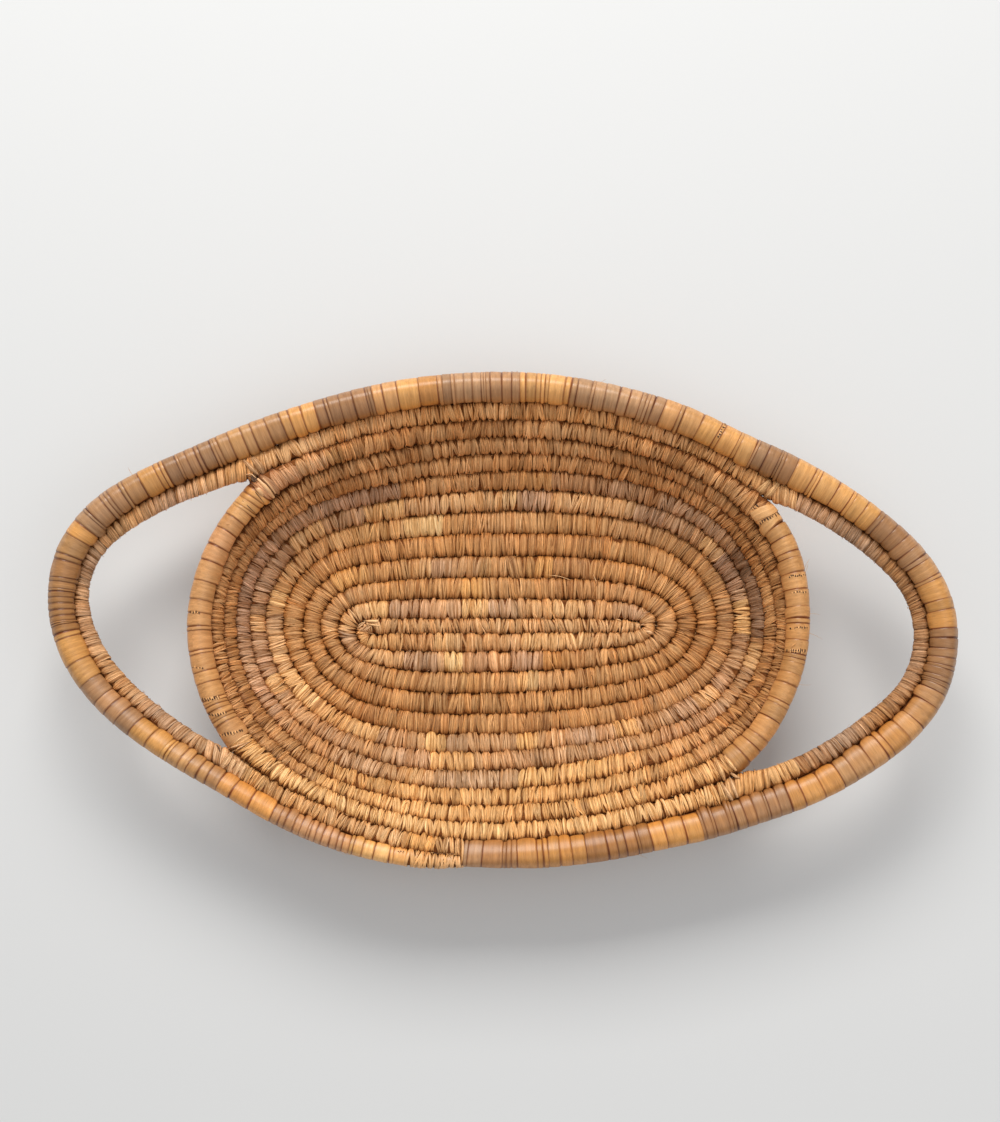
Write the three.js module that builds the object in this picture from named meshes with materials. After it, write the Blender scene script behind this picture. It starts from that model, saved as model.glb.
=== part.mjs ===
import * as THREE from 'three';

// Coiled oval tray with two loop handles.
// One long grass coil is wound outwards from a straight start row: five flat rounds make the
// base, four rounds climb as the walls, the tenth closes the two short ends, and the last two
// rows run along the long sides and swing out past the ends as the two handles. Each node is a
// length of that coil. Millimetres, +Z up out of the open side, X along the handles.

// ---------------------------------------------------------------- driving dimensions
const BASE_HALF_THICKNESS = 6.0;   // the five base rounds lie flat, 12 mm thick
const ROW_GAP = 0.3;               // clearance kept between neighbouring rows
const CUT_GAP = 0.3;               // clearance where one length of coil meets the next
const BASE_RADIUS = 7.2;           // greatest half width of a base row
const WALL_RADIUS = 6.7;           // greatest half width of a wall row
const END_RIM_RADIUS = 7.5;        // thick smooth row that closes each short end
const LASHING_LENGTH = 24;         // wrapped length where a handle leaves the body
const START_TIP = 90.2;            // right-hand end of the start row
const START_LEFT = -86.0;          // where the start row begins its first turn back
const START_RADIUS = 5.4;

// The winding is laid out from two centres on the start row. Every row is given by how far its
// middle lies from that start line: first along the straight, then every 15 degrees round the
// end, then back along the straight.
const CENTRE_LEFT = -88.0;
const CENTRE_RIGHT = 85.0;
const START_X = -2.0;
const START_Y = -1.5;
const STRAIGHT_STEPS = [0, 22, 44, 66];

// Height of each row's middle above the table: along the long sides and at the short ends.
const SIDE_HEIGHT = [6, 6, 6, 6, 6, 6, 9.5, 15, 22.5, 30.5, 38, 45];
const END_HEIGHT = [6, 6, 6, 6, 6, 6, 13.5, 22, 32, 42.5, 52.5, 54.5];

// Right half of rounds 1 to 10, from the near long side round the right end to the far side.
const RIGHT_HALF = [
  [10.7, 10.3, 10.1, 9.4, 8, 7.8, 8, 8.8, 10.2, 11.7, 11.7, 11.8, 10.7, 9.8, 9.1, 8.9, 9.2, 10.7, 11.2, 11.3, 11.6],
  [23, 22.2, 21.6, 19.9, 16.7, 16.4, 17.1, 18.6, 20.2, 22.4, 23.2, 23.5, 22.5, 21.4, 20.1, 19.7, 20.2, 23.5, 24.5, 24.6, 25.1],
  [36.6, 36.1, 34.8, 32.5, 28.8, 28.3, 28.8, 30, 32, 34.3, 35.7, 36, 35.6, 34.4, 33.2, 33, 33.9, 36.9, 38.4, 38.8, 39],
  [50.2, 49.4, 47.8, 45.3, 41.5, 40.3, 40.5, 42.3, 44.8, 47, 48.3, 49, 48.8, 47.7, 47.2, 47.4, 48.7, 51.8, 53.3, 53.8, 53.6],
  [63.8, 62.6, 60.8, 58.3, 54.2, 52.6, 52.9, 55, 57.7, 59.9, 61.3, 62.2, 62.1, 61.3, 61.4, 62, 63.9, 67.1, 68.5, 68.9, 68.6],
  [77, 76, 74.2, 71.7, 67.4, 65.5, 65.8, 67.6, 70.2, 72.3, 73.4, 74.3, 74.1, 74, 74, 74.9, 77.3, 80.9, 82.8, 84, 83.9],
  [88.5, 87.3, 84.9, 82, 78, 75.9, 76.4, 78.6, 80.4, 81.4, 82.2, 82.5, 83, 83.4, 83.6, 85.2, 89.1, 93.4, 95.7, 97, 96.8],
  [101.3, 99.9, 97.4, 93.7, 89.1, 86, 85.6, 86.6, 87.9, 88.7, 89.1, 89.2, 89.7, 91.2, 92.5, 94.7, 99.3, 104, 107.3, 108.6, 108.2],
  [112, 111.4, 109.2, 105.4, 100.4, 96.1, 94.3, 94.2, 94.8, 94.5, 93.9, 94.3, 95.2, 96.6, 97.9, 101, 106.7, 111.5, 115.2, 117.1, 117.5],
  [121.8, 120.6, 118.2, 115, 109.9, 105.4, 104.2, 102, 99.2, 98.5, 98.4, 100.3, 103.4, 103.2, 104, 107.5, 114.1, 120.1, 124.3, 126.2, 126.1],
];
// Left half of rounds 1 to 10, from the far long side round the left end to the near side.
const LEFT_HALF = [
  [11.6, 11.3, 11.5, 11.2, 10.5, 10.7, 11.6, 12.9, 14.7, 15, 15.5, 15.8, 16.5, 17.1, 18.1, 18.4, 19, 21.8, 23.2, 23.3, 23],
  [25.1, 24.9, 25, 23.8, 21.9, 21.9, 22.8, 24.2, 25.4, 25.6, 26.1, 26, 26.4, 26.6, 27, 27.8, 29.3, 34.6, 37, 37.3, 36.6],
  [39, 38.9, 38.6, 37.1, 34.5, 34.3, 34.9, 35.7, 36.7, 36.9, 37.1, 37.1, 37.1, 37.9, 38.4, 40.1, 43, 47.7, 50.1, 50.6, 50.2],
  [53.6, 53.2, 52.6, 51, 48, 47.3, 48.1, 48.8, 49.4, 49.8, 49.5, 48.9, 48.5, 48.9, 50.1, 52.8, 56.8, 61.1, 63.5, 64.1, 63.8],
  [68.6, 68.1, 66.8, 64.9, 62, 60.9, 61.3, 62.1, 62.7, 63, 62.2, 61.1, 60.6, 60.7, 62.1, 65.2, 69.6, 74.2, 76.7, 77.3, 77],
  [83.9, 83.2, 81.2, 78.8, 76, 74.2, 73.7, 74.2, 75, 75.1, 73.8, 73, 72.7, 72.9, 74.2, 76.9, 81.2, 85.9, 89, 89.2, 88.5],
  [96.8, 95.7, 93.3, 90, 86.1, 83.7, 82.9, 83.3, 83.7, 83.6, 82.3, 81.5, 81.7, 82, 83.8, 87.3, 92.8, 97.9, 100.9, 101.6, 101.3],
  [108.2, 106.3, 103.9, 100.4, 95.4, 92, 90.9, 90.6, 90.9, 90.2, 89.3, 89.5, 90, 91.3, 93.3, 96.9, 102.6, 107.4, 110.5, 112, 112],
  [117.5, 116.2, 113, 109, 104.2, 98.9, 95.6, 94.5, 94.9, 95.3, 95, 95.3, 96.7, 98.6, 100.9, 105, 111.4, 116.6, 120.1, 121.9, 121.8],
  [126.1, 125.3, 122.7, 118.1, 112.8, 107, 105.2, 103.4, 101.4, 100.5, 100.8, 101.4, 103.1, 105.8, 107.6, 111.1, 119, 124.9, 129.1, 131.4, 131.8],
];
// Row 11: near side, right handle (inner row), far side, left handle (inner row), and the near
// side again up to the start of the rim. Middle X, Y, Z and half thickness.
const HANDLE_ROW = [
  [1.1, -134.5, 45.1, 6.4],
  [31.1, -132.3, 45.4, 6.4],
  [60.9, -128.3, 46.3, 6.4],
  [90.1, -121.2, 47.6, 6.4],
  [119.1, -113.6, 49.1, 6.3],
  [147.9, -104.9, 50.7, 6.1],
  [176.5, -95.7, 51.9, 5.9],
  [203.3, -82.3, 52.9, 5.8],
  [228.1, -65.3, 53.3, 5.8],
  [250.4, -45.3, 53.6, 5.8],
  [261, -17.6, 53.7, 5.8],
  [257, 11.9, 53.6, 5.8],
  [239, 35.6, 53.4, 5.8],
  [215.6, 54.5, 53.1, 5.8],
  [190.1, 70.4, 52.3, 5.9],
  [162.9, 83.1, 51.2, 6],
  [137.7, 99.4, 49.9, 6.3],
  [110.8, 112.7, 48.4, 6.4],
  [82.4, 122.6, 47.1, 6.4],
  [53.2, 129.6, 46, 6.4],
  [23.4, 133.1, 45.3, 6.4],
  [-6.7, 133.5, 45.1, 6.4],
  [-36.6, 131.1, 45.5, 6.4],
  [-66.4, 127, 46.5, 6.4],
  [-95.5, 119.5, 47.7, 6.4],
  [-123.8, 109.4, 49.1, 6.4],
  [-151.5, 98, 50.6, 6.1],
  [-179.3, 86.6, 51.9, 5.9],
  [-207.3, 75.5, 52.9, 5.8],
  [-233.6, 61.1, 53.3, 5.8],
  [-255.9, 41.1, 53.6, 5.8],
  [-264.4, 12.9, 53.7, 5.8],
  [-256.5, -15.8, 53.6, 5.8],
  [-239.2, -40.3, 53.3, 5.8],
  [-216.9, -60.4, 52, 5.9],
  [-192.5, -78, 51.7, 5.9],
  [-165.9, -91.9, 51.4, 6.1],
  [-140.7, -108.4, 51.1, 6.1],
  [-113.3, -120.6, 51.1, 6],
  [-85.4, -131.8, 51.3, 5.7],
  [-56.2, -138.8, 51.7, 5.2],
  [-26.4, -142.9, 52.1, 4.9],
];
// Rim, outermost row: near side, right handle, far side, left handle, tapered tail.
const RIM_ROW = [
  [-1.6, -146.4, 52.7, 7.8],
  [30.3, -144.9, 53, 8.4],
  [62.1, -141.1, 53.2, 8.7],
  [93.4, -135, 53.4, 8.5],
  [124.7, -128.4, 53.7, 8.6],
  [155.2, -118.9, 54.4, 8.6],
  [185.3, -108.5, 55.4, 8.5],
  [213.5, -93.5, 56.7, 8.6],
  [239.6, -75.2, 58.2, 8.9],
  [261.2, -52, 59.5, 8.4],
  [270.6, -21.7, 60.5, 8.7],
  [267.5, 9.8, 61.1, 9.1],
  [251.9, 37.5, 61.1, 8.5],
  [228.9, 59.6, 60.7, 7.9],
  [202.7, 77.9, 60, 8.7],
  [174.9, 93.5, 59.4, 8.9],
  [145.7, 106.4, 58.8, 9.1],
  [117.4, 121.2, 58.2, 9],
  [87.3, 132.1, 57.6, 8.6],
  [56.4, 139.9, 56.9, 8.3],
  [24.7, 144.4, 56.2, 8.6],
  [-7.2, 145.2, 55.7, 9],
  [-39.1, 143.5, 55.5, 9],
  [-70.7, 138.8, 55.4, 9.1],
  [-101.8, 131.2, 55.5, 9.2],
  [-132.2, 121.6, 56, 9.2],
  [-162.2, 110.4, 56.9, 9.1],
  [-191.4, 97.5, 58.2, 8.6],
  [-220, 83.3, 59.7, 8.9],
  [-246.6, 65.7, 61, 9.5],
  [-266.1, 40.9, 61.8, 8.9],
  [-271.9, 9.6, 61.9, 8.1],
  [-265, -21.4, 61.4, 7.6],
  [-247.4, -47.9, 60.4, 7.4],
  [-223.7, -69.2, 59.6, 7.2],
  [-197.3, -87.3, 59.5, 6.3],
  [-169.7, -103.3, 59.3, 5.8],
  [-142, -119.2, 58.5, 5.9],
  [-113.3, -133.1, 57.4, 5.6],
  [-82.9, -142.7, 56.3, 5.3],
  [-51.7, -149.4, 55.3, 4.2],
  [-19.8, -150.5, 54.9, 3.2],
];
const HANDLE_STEP = 17;            // spacing of sections along the two outer rows
// The outline is centred on the frame's origin.
const CENTRE_SHIFT_X = 0.2;
const CENTRE_SHIFT_Y = -1.3;

// Where the handle rows leave the body (plan X, Y).
const CROTCH = {
  lower_right: [146.3, -99.0], upper_right: [172.2, 72.5],
  upper_left: [-161.4, 87.2], lower_left: [-169.6, -83.0],
};
// Half section of a row: angles of its ten corners, with flats above and below.
const SECTION_ANGLES = [0, 38, 68, 112, 142, 180, 218, 248, 292, 322].map((a) => (a * Math.PI) / 180);
const FLAT_SIN = Math.sin((68 * Math.PI) / 180);

// ---------------------------------------------------------------- materials
const mat = (hex, roughness) => new THREE.MeshStandardMaterial({ color: hex, roughness, metalness: 0 });
const TAN = mat(0xb78752, 0.75);
const OCHRE = mat(0xc0894e, 0.75);
const MAUVE = mat(0xa07f68, 0.8);
const GOLD = mat(0xd0984f, 0.55);
const LEAF = mat(0xbd8d5c, 0.5);

// ---------------------------------------------------------------- the winding
const smooth = (t) => { const u = Math.min(1, Math.max(0, t)); return u * u * (3 - 2 * u); };
const lerp = (a, b, t) => a + (b - a) * t;
const at = (table, x) => {
  const i = Math.min(table.length - 2, Math.max(0, Math.floor(x)));
  return lerp(table[i], table[i + 1], x - i);
};

// Stations of a half round: a point on the start line, the way out from it, and how far round.
function halfStations(right) {
  const out = [];
  const side = right ? 1 : -1;
  const centre = right ? CENTRE_RIGHT : CENTRE_LEFT;
  const reach = Math.abs(centre - START_X);
  const arc = 65 * Math.PI;
  const total = 2 * reach + arc;
  for (const d of STRAIGHT_STEPS) out.push([START_X + side * d, 0, -side, d / total]);
  for (let a = 0; a <= 180; a += 15) {
    const w = ((a - 90) * Math.PI) / 180;
    out.push([centre, side * Math.cos(w), side * Math.sin(w), (reach + (arc * a) / 180) / total]);
  }
  for (const d of [...STRAIGHT_STEPS].reverse()) out.push([START_X + side * d, 0, side, (total - d) / total]);
  return out;
}

const coil = [];   // {x, y, z, r, row}
function addHalf(right, row, skipFirst) {
  const offsets = (right ? RIGHT_HALF : LEFT_HALF)[row - 1];
  halfStations(right).forEach(([x0, nx, ny, t], i) => {
    if (skipFirst && i === 0) return;
    const w = Math.sin(Math.PI * t) ** 2;
    const sideLevel = right ? row : row + smooth(t);
    const z = (1 - w) * at(SIDE_HEIGHT, sideLevel) + w * at(END_HEIGHT, row);
    let r = row <= 5 ? BASE_RADIUS : WALL_RADIUS;
    if (row === 10) r = lerp(WALL_RADIUS, END_RIM_RADIUS, w);
    coil.push({ x: x0 + nx * offsets[i], y: START_Y + ny * offsets[i], z, r, row: row + (right ? 0 : 0.5) });
  });
}

// Start row, right to left, and its first turn back.
const TURN = (RIGHT_HALF[0][0]) / 2;
for (const x of [START_TIP, 66, 42, 20, -2, -24, -46, -68]) coil.push({ x, y: START_Y, z: 6, r: START_RADIUS, row: 0 });
for (let a = 0; a <= 180; a += 30) {
  const w = ((90 + a) * Math.PI) / 180;
  coil.push({ x: START_LEFT + TURN * 1.02 * Math.cos(w), y: START_Y - TURN + TURN * Math.sin(w), z: 6, r: START_RADIUS, row: 0 });
}
for (const x of [-68, -46, -24]) coil.push({ x, y: START_Y - 2 * TURN, z: 6, r: BASE_RADIUS, row: 0.5 });
for (let row = 1; row <= 10; row += 1) {
  addHalf(true, row, row > 1);
  addHalf(false, row, true);
}
const shift = (p) => ({ ...p, x: p.x + CENTRE_SHIFT_X, y: p.y + CENTRE_SHIFT_Y });
const body = coil.map(shift);

// The two outer rows run on smooth curves through their control points.
class RowCurve {
  constructor(table) {
    this.pos = new THREE.CatmullRomCurve3(table.map(([x, y, z]) => new THREE.Vector3(x, y, z)), false, 'centripetal');
    this.pos.arcLengthDivisions = 1200;
    this.table = table;
    this.n = table.length - 1;
  }
  point(u, row) {
    const p = this.pos.getPoint(u);
    return { x: p.x, y: p.y, z: p.z, r: at(this.table.map((q) => q[3]), Math.min(this.n - 1e-6, u * this.n)), row };
  }
}
const inner = new RowCurve(HANDLE_ROW);
const rim = new RowCurve(RIM_ROW);
const innerCount = Math.round(inner.pos.getLength() / HANDLE_STEP);
const innerPoints = [];
for (let i = 0; i <= innerCount; i += 1) innerPoints.push(inner.point(inner.pos.getUtoTmapping(i / innerCount), 11));
// Sections of the rim face those of row 11.
const rimPoints = [];
{
  let u = 0;
  for (const p of innerPoints) {
    let best = u; let bestD = Infinity;
    for (let k = 0; k <= 260; k += 1) {
      const v = Math.min(1, u + k / 2600);
      const q = rim.pos.getPoint(v);
      const d = (q.x - p.x) ** 2 + (q.y - p.y) ** 2;
      if (d < bestD) { bestD = d; best = v; }
    }
    if (rimPoints.length && best - u < 0.004) continue;
    u = best;
    rimPoints.push(rim.point(u, 12));
  }
  if (u < 0.995) rimPoints.push(rim.point(1, 12));
}
const path = [...body, ...innerPoints.slice(1), { x: -12.5, y: -144.9, z: 52.4, r: 6.4, row: 11.6 }, ...rimPoints.slice(1)];

// Distance run along the coil.
let run = 0;
path.forEach((p, i) => {
  if (i) run += Math.hypot(p.x - path[i - 1].x, p.y - path[i - 1].y, p.z - path[i - 1].z);
  p.s = run;
});

// A row is never thicker than the space that its neighbours leave.
function gapTo(p) {
  let limit = p.r;
  for (let j = 0; j < path.length - 1; j += 1) {
    const a = path[j]; const b = path[j + 1];
    if (Math.min(Math.abs(a.s - p.s), Math.abs(b.s - p.s)) < 38) {
      if (!(p.row < 1 && Math.abs(a.y - p.y) > 8 && Math.abs(b.y - p.y) > 8)) continue;
    }
    const dx = b.x - a.x; const dy = b.y - a.y; const dz = b.z - a.z;
    const t = Math.min(1, Math.max(0, ((p.x - a.x) * dx + (p.y - a.y) * dy + (p.z - a.z) * dz) / (dx * dx + dy * dy + dz * dz)));
    const d = Math.hypot(p.x - a.x - t * dx, p.y - a.y - t * dy, p.z - a.z - t * dz);
    if (d > 20) continue;
    const other = lerp(a.r, b.r, t);
    limit = Math.min(limit, ((d - ROW_GAP - (p.row > 11 ? 0.35 : 0.06)) * p.r) / (p.r + other));
  }
  return limit;
}
const limits = path.map(gapTo);
limits.forEach((v, i) => { path[i].rr = v; });

// Direction of travel at each section.
path.forEach((p, i) => {
  const a = path[Math.max(0, i - 1)]; const b = path[Math.min(path.length - 1, i + 1)];
  const l = Math.hypot(b.x - a.x, b.y - a.y, b.z - a.z);
  p.t = [(b.x - a.x) / l, (b.y - a.y) / l, (b.z - a.z) / l];
});

function stationAt(s) {
  let i = path.findIndex((p) => p.s > s);
  if (i <= 0) i = i < 0 ? path.length - 1 : 1;
  const a = path[i - 1]; const b = path[i];
  const k = Math.min(1, Math.max(0, (s - a.s) / (b.s - a.s)));
  const t = [0, 1, 2].map((c) => lerp(a.t[c], b.t[c], k));
  return { x: lerp(a.x, b.x, k), y: lerp(a.y, b.y, k), z: lerp(a.z, b.z, k), rr: lerp(a.rr, b.rr, k), t, s };
}

// Corners of one section: round on the walls, flattened above and below on the base.
function ring(p) {
  const T = new THREE.Vector3(...p.t).normalize();
  const up = new THREE.Vector3(0, 0, 1).addScaledVector(T, -T.z).normalize();
  const across = new THREE.Vector3().crossVectors(up, T).normalize();
  const flatness = 1 - smooth((p.z - BASE_HALF_THICKNESS) / 5);
  const h = lerp(p.rr, BASE_HALF_THICKNESS / FLAT_SIN, flatness);
  return SECTION_ANGLES.map((w) => new THREE.Vector3(p.x, p.y, p.z)
    .addScaledVector(across, p.rr * Math.cos(w)).addScaledVector(up, h * Math.sin(w)));
}

// Closed solid of the coil between two distances along it.
function coilSolid(s0, s1) {
  const a = s0 + CUT_GAP / 2; const b = s1 - CUT_GAP / 2;
  const stations = [stationAt(a), ...path.filter((p) => p.s > a + 1.5 && p.s < b - 1.5), stationAt(b)];
  const n = SECTION_ANGLES.length;
  const v = []; const f = [];
  stations.forEach((p) => ring(p).forEach((q) => v.push(q.x, q.y, q.z)));
  for (let i = 0; i < stations.length - 1; i += 1) {
    for (let k = 0; k < n; k += 1) {
      const a0 = i * n + k; const a1 = i * n + ((k + 1) % n);
      f.push(a0, a1 + n, a0 + n, a0, a1, a1 + n);
    }
  }
  const last = (stations.length - 1) * n;
  for (let k = 1; k < n - 1; k += 1) { f.push(0, k + 1, k); f.push(last, last + k, last + k + 1); }
  const g = new THREE.BufferGeometry();
  g.setAttribute('position', new THREE.Float32BufferAttribute(v, 3));
  g.setIndex(f);
  g.computeVertexNormals();
  return g;
}

// Distance along the coil where it passes nearest to a plan point, on a given row.
function sNear(x, y, lo, hi) {
  let best = 0; let bestD = Infinity;
  for (let i = 0; i < path.length - 1; i += 1) {
    const a = path[i]; const b = path[i + 1];
    if (a.row < lo || a.row > hi) continue;
    for (let k = 0; k < 1; k += 0.05) {
      const d = Math.hypot(lerp(a.x, b.x, k) - x, lerp(a.y, b.y, k) - y);
      if (d < bestD) { bestD = d; best = lerp(a.s, b.s, k); }
    }
  }
  return best;
}
const nearMid = (row) => sNear(START_X + CENTRE_SHIFT_X, START_Y + CENTRE_SHIFT_Y - RIGHT_HALF[row - 1][0], row - 0.5, row + 0.01);

// ---------------------------------------------------------------- lengths of coil
const cuts = [];
const add = (name, s0, s1, material) => cuts.push({ name, s0, s1, material });
const starts = {};
for (let row = 1; row <= 10; row += 1) starts[row] = nearMid(row);
add('start_whipping', -CUT_GAP / 2, 13, LEAF);
add('start_row', 13, 13 + (START_TIP - START_LEFT) - 13 - 1, TAN);
add('start_turn', 13 + (START_TIP - START_LEFT) - 14, starts[1], TAN);
const roundMaterial = [null, MAUVE, TAN, OCHRE, OCHRE, TAN, MAUVE, MAUVE, TAN, OCHRE];
for (let row = 1; row <= 9; row += 1) {
  add(`${row <= 5 ? 'base' : 'wall'}_round_${row}`, starts[row], starts[row + 1], roundMaterial[row]);
}
const H = LASHING_LENGTH;
const e = {
  br10: sNear(...CROTCH.lower_right, 10, 10.4), tr10: sNear(...CROTCH.upper_right, 10, 10.4),
  tl10: sNear(...CROTCH.upper_left, 10.5, 10.6), bl10: sNear(...CROTCH.lower_left, 10.5, 10.6),
  br11: sNear(...CROTCH.lower_right, 11, 11), tr11: sNear(...CROTCH.upper_right, 11, 11),
  tl11: sNear(...CROTCH.upper_left, 11, 11), bl11: sNear(...CROTCH.lower_left, 11, 11),
};
e.br12 = sNear(...CROTCH.lower_right, 12, 12); e.tr12 = sNear(...CROTCH.upper_right, 12, 12);
e.tl12 = sNear(...CROTCH.upper_left, 12, 12); e.bl12 = sNear(...CROTCH.lower_left, 12, 12);
const rimStart = path.find((p) => p.row === 11.6).s;
add('near_side_row_10', starts[10], e.br10, OCHRE);
add('end_rim_right', e.br10, e.tr10 - H * 0.55, LEAF);
add('end_rim_wrap_right', e.tr10 - H * 0.55, e.tr10, GOLD);
add('far_side_row_10', e.tr10, e.tl10, TAN);
add('end_rim_wrap_left', e.tl10, e.tl10 + H * 0.55, GOLD);
add('end_rim_left', e.tl10 + H * 0.55, e.bl10, LEAF);
add('near_side_row_11', e.bl10, e.br11 - H / 2, OCHRE);
add('handle_lashing_near_right', e.br11 - H / 2, e.br11 + H / 2, LEAF);
add('handle_inner_right', e.br11 + H / 2, e.tr11 - H / 2, TAN);
add('handle_lashing_far_right', e.tr11 - H / 2, e.tr11 + H / 2, LEAF);
add('far_side_row_11', e.tr11 + H / 2, e.tl11 - H / 2, TAN);
add('handle_lashing_far_left', e.tl11 - H / 2, e.tl11 + H / 2, LEAF);
add('handle_inner_left', e.tl11 + H / 2, e.bl11 - H / 2, TAN);
add('handle_lashing_near_left', e.bl11 - H / 2, e.bl11 + H / 2, LEAF);
add('near_side_row_12', e.bl11 + H / 2, rimStart, MAUVE);
add('rim_near_side', rimStart, e.br12, GOLD);
add('rim_handle_right', e.br12, e.tr12, GOLD);
add('rim_far_side', e.tr12, e.tl12, LEAF);
add('rim_handle_left', e.tl12, e.bl12, LEAF);
add('rim_tail', e.bl12, path[path.length - 1].s + CUT_GAP / 2, GOLD);

const tray = new THREE.Group();
for (const { name, s0, s1, material } of cuts) {
  const mesh = new THREE.Mesh(coilSolid(s0, s1), material);
  mesh.name = name;
  tray.add(mesh);
}
export default tray;
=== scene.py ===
"""Coiled oval tray with two loop handles: the looks.

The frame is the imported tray. Every length of coil is replaced by what it is made of: a core of
grass stems and the palm strips sewn round it, stitch by stitch. Metres, +Z up out of the open
side. The coil's route is the same list of stations as in the part, in millimetres.
"""
import math

import bpy
import numpy as np
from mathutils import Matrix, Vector


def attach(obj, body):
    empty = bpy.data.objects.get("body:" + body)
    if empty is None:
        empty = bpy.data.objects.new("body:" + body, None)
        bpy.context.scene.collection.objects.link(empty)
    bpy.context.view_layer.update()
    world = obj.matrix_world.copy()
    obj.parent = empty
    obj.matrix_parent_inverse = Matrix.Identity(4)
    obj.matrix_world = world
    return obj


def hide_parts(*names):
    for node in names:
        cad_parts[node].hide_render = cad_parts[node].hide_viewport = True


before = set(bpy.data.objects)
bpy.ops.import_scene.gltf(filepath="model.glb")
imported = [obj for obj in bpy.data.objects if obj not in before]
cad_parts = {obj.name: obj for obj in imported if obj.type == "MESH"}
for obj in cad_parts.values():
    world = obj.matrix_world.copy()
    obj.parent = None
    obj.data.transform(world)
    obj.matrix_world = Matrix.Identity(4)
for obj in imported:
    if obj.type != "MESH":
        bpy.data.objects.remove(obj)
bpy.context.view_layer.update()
rng = np.random.default_rng(20)

# ------------------------------------------------------------------ camera of the photograph
CAM = np.array([0.0002, -0.0876, 0.9409])
TILT = math.radians(7.8)
FOCAL = 1434.0            # pixels on a picture 1000 wide
CENTRE = (503.0, 561.0)

camera = bpy.data.objects.new("camera", bpy.data.cameras.new("camera"))
bpy.context.scene.collection.objects.link(camera)
camera.location = CAM.tolist()
camera.rotation_euler = (TILT, 0.0, 0.0)
camera.data.sensor_fit = "HORIZONTAL"
camera.data.sensor_width = 36.0
camera.data.lens = 36.0 * FOCAL / 1000.0
camera.data.shift_x = -0.003
camera.data.clip_start = 0.01
camera.data.clip_end = 20.0
bpy.context.scene.camera = camera


def picture(p):
    """Where points in millimetres fall on the photograph, in its pixels."""
    d = p / 1000.0 - CAM
    f = np.array([0, math.sin(TILT), -math.cos(TILT)])
    u = np.array([0, math.cos(TILT), math.sin(TILT)])
    z = d @ f
    return np.stack([CENTRE[0] + FOCAL * d[..., 0] / z, CENTRE[1] - FOCAL * (d @ u) / z], -1)


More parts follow.
